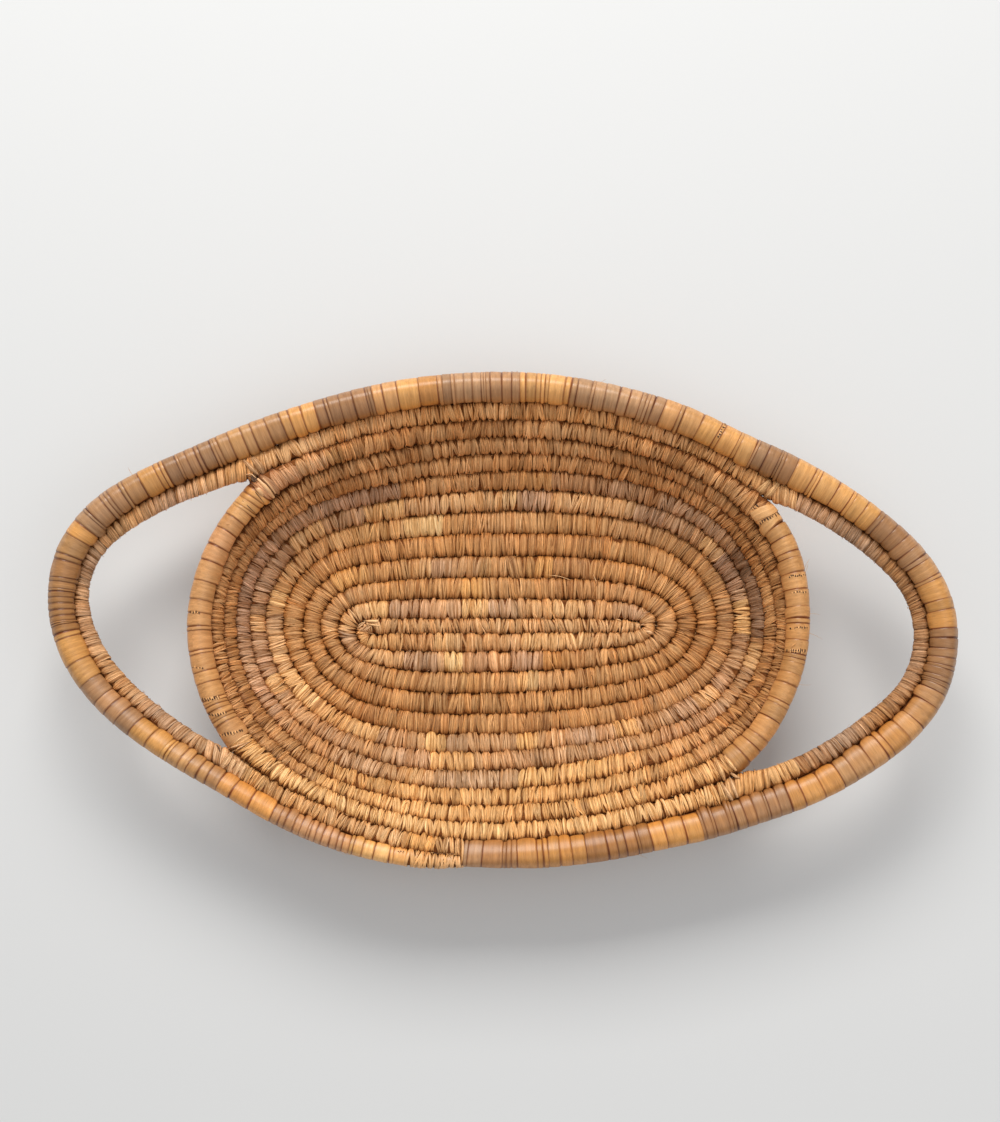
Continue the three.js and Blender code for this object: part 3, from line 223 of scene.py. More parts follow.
LENGTHS = [
    ("start_whipping", 0.0, 13.0),
    ("start_row", 13.0, 175.2),
    ("start_turn", 175.2, 277.0),
    ("base_round_1", 277.0, 703.7),
    ("base_round_2", 703.7, 1196.5),
    ("base_round_3", 1196.5, 1764.5),
    ("base_round_4", 1764.5, 2412.4),
    ("base_round_5", 2412.4, 3142.2),
    ("wall_round_6", 3142.2, 3949.7),
    ("wall_round_7", 3949.7, 4818.3),
    ("wall_round_8", 4818.3, 5739.8),
    ("wall_round_9", 5739.8, 6704.0),
    ("near_side_row_10", 6704.0, 6850.9),
    ("end_rim_right", 6850.9, 7013.1),
    ("end_rim_wrap_right", 7013.1, 7026.3),
    ("far_side_row_10", 7026.3, 7367.6),
    ("end_rim_wrap_left", 7367.6, 7380.8),
    ("end_rim_left", 7380.8, 7538.5),
    ("near_side_row_11", 7538.5, 7855.3),
    ("handle_lashing_near_right", 7855.3, 7879.3),
    ("handle_inner_right", 7879.3, 8142.4),
    ("handle_lashing_far_right", 8142.4, 8166.4),
    ("far_side_row_11", 8166.4, 8499.3),
    ("handle_lashing_far_left", 8499.3, 8523.3),
    ("handle_inner_left", 8523.3, 8778.7),
    ("handle_lashing_near_left", 8778.7, 8802.7),
    ("near_side_row_12", 8802.7, 8962.2),
    ("rim_near_side", 8962.2, 9130.4),
    ("rim_handle_right", 9130.4, 9444.1),
    ("rim_far_side", 9444.1, 9812.0),
    ("rim_handle_left", 9812.0, 10112.3),
    ("rim_tail", 10112.3, 10282.4),
]

# ------------------------------------------------------------------ dense samples of the route
ST = np.array(STATIONS, float)
S_ST = np.concatenate([[0.0], np.cumsum(np.linalg.norm(np.diff(ST[:, :3], axis=0), axis=1))])
TOTAL = float(S_ST[-1])
DS = 1.0
SS = np.arange(0.0, TOTAL + DS, DS)


def hermite(x, xp, fp):
    m = np.gradient(fp, xp, axis=0)
    i = np.clip(np.searchsorted(xp, x, side="right") - 1, 0, len(xp) - 2)
    h = (xp[i + 1] - xp[i])[:, None]
    t = (x[:, None] - xp[i][:, None]) / h
    t2, t3 = t * t, t * t * t
    return ((2 * t3 - 3 * t2 + 1) * fp[i] + (t3 - 2 * t2 + t) * h * m[i]
            + (-2 * t3 + 3 * t2) * fp[i + 1] + (t3 - t2) * h * m[i + 1])


def blurred(a, sigma):
    """a blurred along the coil, sigma in millimetres."""
    n = int(3 * sigma / DS)
    k = np.exp(-0.5 * (np.arange(-n, n + 1) * DS / sigma) ** 2)
    k /= k.sum()
    a2 = a.reshape(len(a), -1)
    out = np.stack([np.convolve(np.pad(c, n, mode="edge"), k, mode="valid") for c in a2.T], 1)
    return out.reshape(a.shape)


def smooth(x, lo=0.0, hi=1.0):
    t = np.clip((x - lo) / (hi - lo), 0, 1)
    return t * t * (3 - 2 * t)


def unit(v):
    return v / np.maximum(np.linalg.norm(v, axis=-1, keepdims=True), 1e-9)


P = hermite(SS, S_ST, ST[:, :3])
# Small slips of the measured stations are evened out, away from the tight first turn.
keep = smooth(SS, 285, 330)[:, None]
P = P * (1 - keep) + blurred(P, 7.0) * keep
R = np.interp(SS, S_ST, ST[:, 3])
ROW = ST[np.clip(np.searchsorted(S_ST, SS, side="right") - 1, 0, len(ST) - 1), 4]
T = unit(np.gradient(P, axis=0))
OUT0 = unit(np.stack([T[:, 1], -T[:, 0], np.zeros(len(T))], 1))   # away from the start row, in plan


def neighbours():
    """For each sample, the nearest points of the coil on its outer and its inner side."""
    step = 3
    idx = np.arange(0, len(SS), step)
    out = {+1: np.full((len(idx), 3), np.nan), -1: np.full((len(idx), 3), np.nan)}
    rad = {+1: np.full(len(idx), np.nan), -1: np.full(len(idx), np.nan)}
    for c0 in range(0, len(idx), 400):
        ii = idx[c0:c0 + 400]
        d = P[None, :, :] - P[ii][:, None, :]
        dist = np.linalg.norm(d, axis=2)
        away = np.abs(SS[None, :] - SS[ii][:, None]) > 38
        turn = (ROW[ii] < 1)[:, None] & (np.abs(d[:, :, 1]) > 8)
        ok = (away | turn) & (dist < 26)
        side = np.einsum("ijk,ik->ij", d, OUT0[ii])
        for sgn in (1, -1):
            dd = np.where(ok & (side * sgn > 1.0), dist, 1e9)
            j = dd.argmin(1)
            good = dd[np.arange(len(ii)), j] < 1e8
            out[sgn][c0:c0 + 400][good] = P[j[good]]
            rad[sgn][c0:c0 + 400][good] = R[j[good]]
    return idx, out, rad


N_IDX, N_POINT, N_RAD = neighbours()
# How wide a gap the strips still close, where the left handle leaves the body: from, to, closed up to, open from.
REACH = [(8484, 8530, 4.0, 7.0), (7340, 7395, 4.0, 7.0), (8772, 8802, 0.3, 3.8), (7520, 7545, 0.3, 3.8)]


def side_facts(sgn):
    """Distance share up to the neighbour on one side, its direction, and how near it is."""
    p, r = N_POINT[sgn], N_RAD[sgn]
    pi, ri = P[N_IDX], R[N_IDX]
    v = p - pi
    d = np.linalg.norm(v, axis=1)
    has = ~np.isnan(d)
    d = np.where(has, d, 1e3)
    r = np.where(has, r, 6.0)
    v = np.where(has[:, None], v / d[:, None] * sgn, OUT0[N_IDX])
    lo, hi = np.full(len(d), 2.2), np.full(len(d), 6.0)
    for a, b, l, h in REACH:
        k = (SS[N_IDX] > a) & (SS[N_IDX] < b)
        lo[k], hi[k] = l, h
    near = 1 - smooth((d - ri - r - lo) / (hi - lo))
    share = d * ri / (ri + r)
    width = np.where(share < ri, share, ri + (np.minimum(share, ri + 3.4) - ri) * near)
    full = lambda a: np.stack([np.interp(SS, SS[N_IDX], c) for c in a.reshape(len(a), -1).T], 1).reshape((len(SS),) + a.shape[1:])
    return full(width), full(v), full(near)


W_OUT, V_OUT, NEAR_OUT = side_facts(+1)
W_IN, V_IN, NEAR_IN = side_facts(-1)
sg = 5.0
D = V_OUT * NEAR_OUT[:, None] + V_IN * NEAR_IN[:, None] + OUT0 * 0.05
D = blurred(D, sg)
D = D - T * np.sum(D * T, 1)[:, None]
D = unit(D)
NRM = np.cross(D, T)
W_OUT, W_IN = blurred(W_OUT, 4.0), blurred(W_IN, 4.0)
NEAR_OUT, NEAR_IN = blurred(NEAR_OUT, 4.0), blurred(NEAR_IN, 4.0)
flat = 1 - smooth(P[:, 2], 6.0, 11.0)
H = flat * 5.95 + (1 - flat) * np.clip(0.52 * (W_OUT + W_IN), 5.2, 9.4)
H = np.where(ROW >= 11.9, np.clip(R, 2.4, 9.4), H)
H = blurred(H, 5.0)
# The tail thins out to nothing under its last wraps.
ROUND = np.interp(ROW, [0, 5, 6, 9.5, 10, 11, 12], [2.12, 2.12, 2.15, 2.15, 2.1, 2.1, 2.06])
SKIN = 0.55               # thickness of the sewn strips over the core
# The first wraps of the rim also hold the thin tail, which lies along their outer side.
cover = smooth(SS, 8949.0, 8951.0) * (1 - smooth(SS, 8990, 9012))
Y0, Y1 = picture(P)[:, 1], picture(P + D)[:, 1]
W_OUT = W_OUT * (1 - cover) + np.maximum(W_OUT, (866.2 - Y0) / np.maximum(Y1 - Y0, 0.5)) * cover
NEAR_OUT = NEAR_OUT * (1 - cover)
PIX = picture(P + NRM * H[:, None])

FIELDS = np.concatenate([P, T, D, NRM, W_OUT[:, None], W_IN[:, None], H[:, None], ROUND[:, None]], 1)


def at(s):
    """The coil's middle, direction, outward direction, face direction and section at distances s."""
    s = np.clip(np.asarray(s, float), 0, SS[-1] - 1e-6)
    i = (s / DS).astype(int)
    k = (s / DS - i)[..., None]
    i2 = np.minimum(i + 1, len(SS) - 1)
    f = FIELDS[i] * (1 - k) + FIELDS[i2] * k
    return f[..., 0:3], f[..., 3:6], f[..., 6:9], f[..., 9:12], f[..., 12], f[..., 13], f[..., 14], f[..., 15]


def on_coil(s, theta, lift, more=0.0, grow_out=0.0, grow_in=0.0):
    """Points on the coil. theta is 0 at the outer seam, 90 degrees on the inside face of the tray, 180 at the inner seam. lift is the height over the core, more squares the section, and the grows push it into the seams."""
    p, t, d, n, wo, wi, h, rnd = at(s)
    c, sn = np.cos(theta), np.sin(theta)
    e = 2.0 / (rnd + more)
    w = np.where(c > 0, wo + grow_out, wi + grow_in) - SKIN
    x = np.sign(c) * np.abs(c) ** e * w
    y = np.sign(sn) * np.abs(sn) ** e * (h - SKIN)
    nx, ny = c, sn
    v = p + d * (x + nx * lift)[..., None] + n * (y + ny * lift)[..., None]
    below = np.minimum(v[..., 2] + 0.2, 0.0)              # what stands on the ground is pressed flat
    v[..., 2] += -0.35 * (1 - np.exp(below / 0.35)) - below
    return v


# ------------------------------------------------------------------ where colours change
LEN = {n: (a, b) for n, a, b in LENGTHS}
START = {k: LEN[f"{'base' if k <= 5 else 'wall'}_round_{k}"][0] for k in range(1, 10)}
START[10] = LEN["near_side_row_10"][0]


def window(label):
    """Part of the coil that a row label means: T rows lie on the far side, B rows on the near one."""
    if label in LEN:
        return LEN[label]
    k = int(label[1:])
    if label[0] == "T":
        return (START[k], START[k + 1]) if k < 10 else (START[10], LEN["end_rim_left"][1])
    if label[0] == "B":
        before = START[k] - START[k - 1] if k > 1 else 200.0
        after = START[k + 1] - START[k] if k < 10 else 300.0
        return START[k] - before / 2, START[k] + after / 2
    raise ValueError(label)


def nearest(label, x, y):
    a, b = window(label)
    i0, i1 = int(a / DS), int(b / DS)
    d = np.hypot(PIX[i0:i1, 0] - x, PIX[i0:i1, 1] - y)
    return i0 + int(d.argmin())


def srgb(r, g, b):
    c = np.array([r, g, b], float) / 255.0
    return np.where(c <= 0.04045, c / 12.92, ((c + 0.055) / 1.055) ** 2.4)


PALETTE = {
    "tan": srgb(203, 150, 99), "tan_light": srgb(217, 166, 114), "ochre": srgb(198, 144, 90),
    "orange": srgb(195, 138, 83), "brown": srgb(184, 129, 78), "mauve": srgb(191, 147, 111),
    "purple": srgb(174, 132, 102), "yellow": srgb(236, 184, 124), "gold": srgb(220, 160, 94),
    "amber": srgb(203, 142, 79), "grey_brown": srgb(168, 122, 84), "pinkish": srgb(211, 157, 116),
    "golden_tan": srgb(218, 162, 102), "honey": srgb(234, 176, 114), "umber": srgb(146, 102, 68),
}
# Colour of the painted shade in the seams between rows, where the strips dive out of the light.
PAINTED_SEAM_SHADE = np.array([0.17, 0.045, 0.010])
CORE_LIGHT, CORE_DARK = srgb(150, 92, 42), srgb(86, 38, 10)

N = len(SS)
COLOUR = np.zeros((N, 3))
PITCH = np.full(N, 5.1)         # width of one stitch along the coil
FINE = np.full(N, 0.6)          # 1: split into fine strands, 0: whole strips
SLANT = np.zeros(N)             # lean of the stitches, in mm at the seams
WRAP = np.zeros(N)              # 1 where wide leaf is wrapped round instead of sewn strips
PINCH_OUT = np.full(N, 0.56)    # how far a stitch narrows at its outer and inner end
PINCH_IN = np.full(N, 0.58)
SOFT = np.zeros(N)              # 1 on the smooth end rims, whose seams are shallow and get less painted seam shade
CALM = np.zeros(N)              # 1 where the stitches lie evenly beside each other


def drift(step, amount, seed):
    """Slow even noise along the coil."""
    r = np.random.default_rng(seed)
    n = int(TOTAL / step) + 3
    v = r.uniform(-1, 1, n)
    x = np.arange(n) * step
    return np.interp(SS, x, v) * amount


def span(label, a=None, b=None):
    lo, hi = window(label)
    i0, i1 = int(lo / DS), int(math.ceil(hi / DS))
    if a is not None:
        i0, i1 = sorted((nearest(label, *a), nearest(label, *b)))
    return slice(i0, i1 + 1)


def colour(label, c1, c2=None, a=None, b=None, pitch=None, fine=None, share=0.5, level=1.0):
    sl = span(label, a, b)
    n = sl.stop - sl.start if sl.stop <= N else N - sl.start
    mix = np.clip(share + drift(23.0, 0.8, abs(hash_name(label)) % 9973)[sl], 0, 1)[:, None]
    COLOUR[sl] = (PALETTE[c1] * (1 - mix) + PALETTE[c2 or c1] * mix) * level
    if pitch:
        PITCH[sl] = pitch
    if fine is not None:
        FINE[sl] = fine


def hash_name(t):
    h = 7
    for ch in t:
        h = (h * 31 + ord(ch)) % 1000003
    return h


# Rows as a whole, then the bands where the maker changed strips.
colour("start_whipping", "tan_light", pitch=3.6, fine=1)
colour("start_row", "tan", "tan_light", pitch=4.0, fine=0.9)
colour("start_turn", "tan", "tan_light", pitch=4.6, fine=0.7)
for k, (c1, c2) in {1: ("tan", "tan_light"), 2: ("ochre", "tan"), 3: ("ochre", "orange"), 4: ("ochre", "orange"),
                    5: ("tan", "ochre"), 6: ("tan", "mauve"), 7: ("brown", "mauve"), 8: ("brown", "tan"), 9: ("brown", "tan")}.items():
    colour(f"T{k}", c1, c2)
for n, c1, c2 in (("near_side_row_10", "honey", "golden_tan"), ("far_side_row_10", "brown", "tan"),
                  ("near_side_row_11", "honey", "golden_tan"), ("far_side_row_11", "tan", "ochre"),
                  ("handle_inner_right", "mauve", "brown"), ("handle_inner_left", "tan", "mauve"),
                  ("near_side_row_12", "golden_tan", "grey_brown"), ("end_rim_right", "tan", "ochre"),
                  ("end_rim_left", "tan", "pinkish"), ("end_rim_wrap_left", "tan_light", "golden_tan"),
                  ("end_rim_wrap_right", "tan_light", "golden_tan"), ("handle_lashing_near_right", "tan_light", "golden_tan"),
                  ("handle_lashing_far_right", "tan_light", "tan"), ("handle_lashing_far_left", "tan", "ochre"),
                  ("handle_lashing_near_left", "tan_light", "pinkish"), ("rim_near_side", "golden_tan", "tan"),
                  ("rim_handle_right", "tan", "ochre"), ("rim_far_side", "tan", "ochre"), ("rim_handle_left", "tan", "grey_brown"),
                  ("rim_tail", "golden_tan", "tan")):
    colour(n, c1, c2)

# (row, colour, second colour, from x y, to x y in the photograph, stitch width, fineness)
BANDS = [
    ("T1", "tan_light", "pinkish", (352, 612), (372, 607), 6.0, 0.3),
    ("T1", "yellow", "yellow", (372, 607), (390, 607), 6.0, 0.3),
    ("T1", "mauve", "pinkish", (391, 607), (426, 607), 6.4, 0.3, 1.08),
    ("T1", "tan", "mauve", (426, 607), (462, 609), 6.6, 0.3, 1.10),
    ("T1", "yellow", "yellow", (462, 609), (487, 610), 6.2, 0.2),
    ("T1", "mauve", "tan", (488, 610), (552, 611), 5.8, 0.5, 1.10),
    ("T1", "yellow", "tan_light", (553, 611), (586, 611), 5.6, 0.3),
    ("T1", "mauve", "tan", (587, 611), (640, 617), 4.8, 0.6, 1.02),
    ("T1", "tan_light", "mauve", (352, 612), (341, 632), 4.6, 0.9),
    ("T1", "mauve", "pinkish", (342, 633), (360, 652), 4.8, 0.6),
    ("B1", "golden_tan", "tan", (362, 634), (400, 641), 5.8, 0.5),
    ("B1", "tan", "golden_tan", (400, 641), (438, 642), 6.2, 0.4),
    ("B1", "yellow", "tan_light", (438, 642), (459, 642), 5.6, 0.3),
    ("B1", "mauve", "tan", (460, 642), (522, 643), 5.8, 0.5, 1.08),
    ("B1", "yellow", "tan_light", (523, 643), (586, 642), 6.2, 0.3),
    ("B1", "tan_light", "tan", (587, 642), (640, 637), 5.0, 0.5),
    ("B2", "mauve", "tan", (346, 640), (366, 655), 5.0, 0.5),
    ("B2", "yellow", "tan_light", (367, 655), (398, 660), 6.0, 0.3),
    ("B2", "tan", "mauve", (399, 660), (442, 662), 5.8, 0.5),
    ("B2", "yellow", "yellow", (442, 662), (463, 662), 4.4, 0.1, 1.3),
    ("B2", "pinkish", "tan", (464, 662), (510, 663), 6.2, 0.4),
    ("B2", "mauve", "pinkish", (510, 663), (540, 662), 6.0, 0.5),
    ("B2", "amber", "ochre", (541, 662), (568, 661), 6.4, 0.2),
    ("B2", "ochre", "tan", (568, 661), (645, 650), 5.2, 0.6),
    ("T2", "ochre", "orange", (420, 589), (480, 589), 4.8, 0.7),
    ("T2", "gold", "ochre", (464, 589), (482, 589), 5.4, 0.4, 0.88),
    ("T2", "tan", "brown", (556, 590), (640, 592), 4.6, 0.7),
    ("T3", "gold", "golden_tan", (332, 582), (366, 568), 5.6, 0.4),
    ("T3", "tan_light", "gold", (416, 567), (431, 567), 5.2, 0.3),
    ("T3", "mauve", "tan", (433, 567), (480, 567), 7.2, 0.3),
    ("T3", "tan", "gold", (481, 567), (555, 567), 6.6, 0.3, 0.89),
    ("T3", "mauve", "brown", (556, 568), (592, 569), 5.4, 0.4),
    ("T4", "orange", "brown", (400, 545), (610, 546), 5.2, 0.6),
    ("B3", "ochre", "tan", (380, 678), (640, 680), 5.8, 0.5),
    ("B3", "gold", "ochre", (458, 683), (476, 683), 6.4, 0.2),
    ("B3", "gold", "yellow", (523, 683), (537, 683), 6.0, 0.2),
    ("B4", "ochre", "brown", (360, 690), (640, 700), 5.6, 0.6),
    ("B5", "ochre", "brown", (340, 700), (660, 715), 5.4, 0.6),
    ("T5", "golden_tan", "tan", (300, 580), (408, 524), 5.2, 0.5, 1.06),
    ("T5", "yellow", "yellow", (405, 524), (443, 521), 4.4, 0.1, 1.35),
    ("T5", "tan", "ochre", (444, 521), (600, 522), 5.4, 0.5, 1.08),
    ("T5", "yellow", "yellow", (276, 609), (283, 590), 5.0, 0.2, 1.25),
    ("T5", "tan_light", "mauve", (275, 612), (281, 670), 5.0, 0.5),
    ("B6", "yellow", "yellow", (282, 673), (309, 700), 5.2, 0.2, 1.25),
    ("B6", "golden_tan", "ochre", (310, 701), (350, 725), 5.2, 0.4),
    ("B6", "yellow", "golden_tan", (351, 726), (376, 737), 5.6, 0.3),
    ("B6", "tan", "mauve", (376, 737), (420, 742), 5.6, 0.5),
    ("B6", "yellow", "yellow", (421, 743), (443, 744), 5.6, 0.2),
    ("B6", "mauve", "tan", (444, 744), (518, 744), 5.6, 0.4),
    ("B6", "yellow", "golden_tan", (519, 744), (537, 744), 5.6, 0.2),
    ("B6", "mauve", "tan", (538, 744), (618, 742), 5.4, 0.5),
    ("B6", "yellow", "golden_tan", (619, 741), (641, 736), 5.4, 0.3),
    ("B6", "tan", "mauve", (642, 736), (700, 712), 5.0, 0.6),
    ("T6", "yellow", "tan_light", (703, 706), (718, 692), 5.2, 0.3, 1.05),
    ("T6", "tan", "mauve", (722, 689), (742, 655), 5.0, 0.6),
    ("T6", "mauve", "grey_brown", (744, 652), (746, 638), 5.0, 0.6, 0.95),
    ("T6", "yellow", "yellow", (746, 636), (745, 602), 5.2, 0.3, 1.05),
    ("T6", "tan", "mauve", (744, 600), (741, 590), 5.0, 0.5),
    ("T6", "mauve", "purple", (740, 588), (716, 556), 5.0, 0.6),
    ("T6", "yellow", "tan_light", (715, 555), (700, 545), 5.2, 0.3),
    ("T6", "mauve", "purple", (664, 522), (632, 510), 5.4, 0.5, 1.1),
    ("T6", "tan_light", "tan", (631, 510), (552, 501), 5.8, 0.4, 1.24),
    ("T6", "mauve", "purple", (551, 501), (520, 500), 5.2, 0.4, 1.24),
    ("T6", "yellow", "tan_light", (519, 500), (500, 500), 6.0, 0.3),
    ("T6", "tan_light", "tan", (499, 500), (439, 502), 6.6, 0.3, 1.26),
    ("T6", "mauve", "tan_light", (438, 502), (410, 505), 5.2, 0.6, 1.12),
    ("T6", "tan_light", "yellow", (408, 506), (366, 514), 5.2, 0.5, 1.1),
    ("T6", "mauve", "tan", (364, 516), (325, 528), 5.2, 0.6, 1.06),
    ("T6", "yellow", "tan_light", (322, 530), (296, 548), 5.8, 0.3),
    ("T6", "mauve", "grey_brown", (293, 552), (262, 610), 5.2, 0.6),
    ("T6", "tan_light", "yellow", (257, 616), (259, 633), 5.2, 0.4, 1.05),
    ("T6", "mauve", "purple", (259, 636), (266, 672), 5.0, 0.6, 1.05),
    ("T6", "yellow", "tan_light", (268, 675), (281, 691), 5.2, 0.4),
    ("T6", "mauve", "tan", (284, 694), (330, 729), 5.0, 0.6, 1.04),
    ("T7", "umber", "purple", (766, 640), (736, 552), 4.8, 0.6, 0.82),
    ("T7", "tan_light", "yellow", (758, 646), (754, 669), 5.0, 0.4, 1.04),
    ("T7", "mauve", "tan", (752, 673), (728, 706), 5.0, 0.6),
    ("T7", "mauve", "brown", (730, 545), (660, 505), 5.0, 0.6),
    ("T7", "ochre", "gold", (552, 481), (522, 480), 5.4, 0.3),
    ("T7", "brown", "tan", (520, 480), (400, 486), 5.2, 0.6, 1.03),
    ("T7", "purple", "mauve", (396, 487), (300, 530), 5.2, 0.5, 1.05),
    ("T7", "mauve", "purple", (296, 534), (246, 610), 4.8, 0.6),
    ("T7", "mauve", "purple", (246, 612), (280, 710), 4.8, 0.6, 1.04),
    ("B7", "tan", "mauve", (340, 742), (660, 750), 5.0, 0.6),
    ("B7", "golden_tan", "yellow", (430, 764), (470, 764), 5.2, 0.4),
    ("B8", "tan", "mauve", (330, 750), (520, 782), 4.9, 0.6),
    ("B8", "golden_tan", "yellow", (520, 782), (560, 781), 5.2, 0.4),
    ("B8", "tan", "golden_tan", (560, 781), (690, 752), 5.0, 0.6),
    ("B9", "golden_tan", "honey", (330, 766), (700, 765), 5.0, 0.5),
    ("B10", "honey", "golden_tan", (320, 775), (720, 780), 5.0, 0.5),
    ("near_side_row_10", "honey", "golden_tan", (420, 815), (660, 815), 5.0, 0.5),
    # the rim, in the coil's own direction
    ("rim_near_side", "grey_brown", "pinkish", (471, 855), (525, 855), 8.4, 0.5, 1.16),
    ("rim_near_side", "gold", "amber", (526, 855), (590, 852), 7.6, 0.1, 0.94),
    ("rim_near_side", "brown", "brown", (591, 852), (647, 843), 3.7, 0.8, 0.84),
    ("rim_near_side", "gold", "tan", (648, 843), (700, 829), 7.6, 0.1),
    ("rim_near_side", "grey_brown", "mauve", (701, 829), (770, 810), 3.8, 0.8),
    ("rim_handle_right", "grey_brown", "mauve", (740, 815), (789, 802), 3.8, 0.8),
    ("rim_handle_right", "amber", "gold", (790, 802), (842, 778), 8.6, 0.0),
    ("rim_handle_right", "grey_brown", "tan", (843, 778), (884, 752), 5.4, 0.4),
    ("rim_handle_right", "gold", "amber", (885, 751), (906, 733), 8.2, 0.0),
    ("rim_handle_right", "amber", "tan", (907, 732), (922, 712), 7.6, 0.1, 0.95),
    ("rim_handle_right", "tan", "grey_brown", (923, 711), (932, 696), 4.4, 0.4, 0.92),
    ("rim_handle_right", "grey_brown", "mauve", (933, 695), (945, 632), 2.2, 0.8, 0.92),
    ("rim_handle_right", "gold", "amber", (945, 630), (938, 590), 9.4, 0.0, 0.92),
    ("rim_handle_right", "amber", "tan", (937, 588), (929, 570), 8.0, 0.0, 0.96),
    ("rim_handle_right", "grey_brown", "mauve", (928, 568), (874, 517), 7.4, 0.3, 0.97),
    ("rim_handle_right", "gold", "golden_tan", (873, 515), (800, 478), 8.4, 0.1),
    ("rim_far_side", "grey_brown", "mauve", (799, 478), (752, 456), 5.0, 0.5),
    ("rim_handle_right", "grey_brown", "mauve", (799, 478), (760, 458), 5.0, 0.5),
    ("rim_far_side", "gold", "golden_tan", (751, 455), (690, 425), 8.6, 0.1),
    ("rim_far_side", "tan", "grey_brown", (689, 424), (661, 413), 6.4, 0.3),
    ("rim_far_side", "grey_brown", "mauve", (660, 413), (573, 391), 5.2, 0.5),
    ("rim_far_side", "gold", "golden_tan", (572, 391), (522, 387), 8.6, 0.0, 1.06),
    ("rim_far_side", "grey_brown", "mauve", (521, 387), (441, 388), 4.0, 0.7, 1.05),
    ("rim_far_side", "amber", "gold", (440, 388), (424, 390), 8.4, 0.0),
    ("rim_far_side", "gold", "golden_tan", (423, 390), (400, 393), 7.2, 0.1),
    ("rim_far_side", "tan", "golden_tan", (399, 393), (376, 398), 6.6, 0.2),
    ("rim_far_side", "grey_brown", "mauve", (375, 398), (319, 412), 4.6, 0.6),
    ("rim_far_side", "gold", "amber", (318, 412), (288, 423), 8.0, 0.1),
    ("rim_far_side", "grey_brown", "tan", (287, 423), (240, 440), 4.6, 0.3, 0.95),
    ("rim_handle_left", "grey_brown", "tan", (240, 440), (212, 452), 4.6, 0.3, 0.97),
    ("rim_handle_left", "grey_brown", "mauve", (212, 452), (166, 473), 5.0, 0.5),
    ("rim_handle_left", "gold", "amber", (165, 473), (140, 487), 8.4, 0.0),
    ("rim_handle_left", "tan", "grey_brown", (139, 487), (127, 497), 6.6, 0.2, 0.94),
    ("rim_handle_left", "grey_brown", "mauve", (126, 498), (89, 524), 4.9, 0.5, 1.03),
    ("rim_handle_left", "amber", "gold", (88, 525), (74, 545), 9.0, 0.0, 0.95),
    ("rim_handle_left", "tan", "grey_brown", (73, 547), (66, 565), 7.2, 0.2, 0.92),
    ("rim_handle_left", "grey_brown", "brown", (65, 567), (62, 630), 0.9, 0.9, 0.85),
    ("rim_handle_left", "amber", "gold", (62, 631), (79, 672), 10.5, 0.0, 0.92),
    ("rim_handle_left", "tan", "grey_brown", (80, 674), (88, 686), 8.0, 0.1, 0.96),
    ("rim_handle_left", "grey_brown", "pinkish", (89, 688), (124, 728), 5.4, 0.4),
    ("rim_handle_left", "amber", "gold", (125, 729), (166, 756), 9.0, 0.0),
    ("rim_handle_left", "grey_brown", "tan", (167, 757), (222, 787), 4.8, 0.5),
    ("rim_tail", "grey_brown", "tan", (200, 775), (222, 788), 4.8, 0.5),
    ("rim_tail", "amber", "gold", (223, 789), (268, 814), 7.6, 0.1, 1.1),
    ("rim_tail", "grey_brown", "pinkish", (269, 815), (344, 846), 2.0, 0.7, 1.14),
    ("rim_tail", "gold", "yellow", (345, 847), (381, 857), 6.4, 0.2),
    ("rim_tail", "tan_light", "golden_tan", (382, 857), (405, 860), 3.6, 0.4),
    ("rim_tail", "tan_light", "golden_tan", (400, 860), (472, 860), 2.5, 1.0, 1.0),
    ("near_side_row_12", "golden_tan", "tan", (250, 780), (340, 826), 4.8, 0.6, 1.08),
    ("near_side_row_12", "tan_light", "tan", (341, 826), (470, 847), 4.0, 0.8, 1.08),
    ("near_side_row_12", "gold", "golden_tan", (404, 839), (436, 845), 5.2, 0.2, 1.12),
    ("near_side_row_11", "golden_tan", "yellow", (742, 800), (802, 776), 5.4, 0.3),
    ("handle_lashing_near_right", "golden_tan", "tan_light", (742, 800), (802, 776), 5.8, 0.05),
    ("handle_inner_right", "golden_tan", "honey", (744, 786), (800, 772), 6.0, 0.05),
    ("far_side_row_10", "pinkish", "tan", (262, 490), (330, 462), 6.6, 0.25),
    ("far_side_row_11", "tan_light", "tan", (247, 470), (330, 440), 6.2, 0.3),
]
for label, c1, c2, a, b, pitch, fine, *level in BANDS:
    colour(label, c1, c2, a, b, pitch, fine, share=0.4, level=level[0] if level else 1.0)

for n in ("rim_near_side", "rim_handle_right", "rim_far_side", "rim_handle_left", "rim_tail"):
    WRAP[span(n)] = 1
WRAP[span("rim_tail", (400, 860), (472, 860))] = 0           # the very end is sewn
PITCH = np.where(WRAP > 0.5, 2.6 + 0.85 * PITCH, 0.93 * PITCH)
for n in ("end_rim_left", "end_rim_right"):
    WRAP[span(n)] = 1
    SOFT[span(n)] = 1
    PITCH[span(n)] = 8.8
    FINE[span(n)] = 0.15
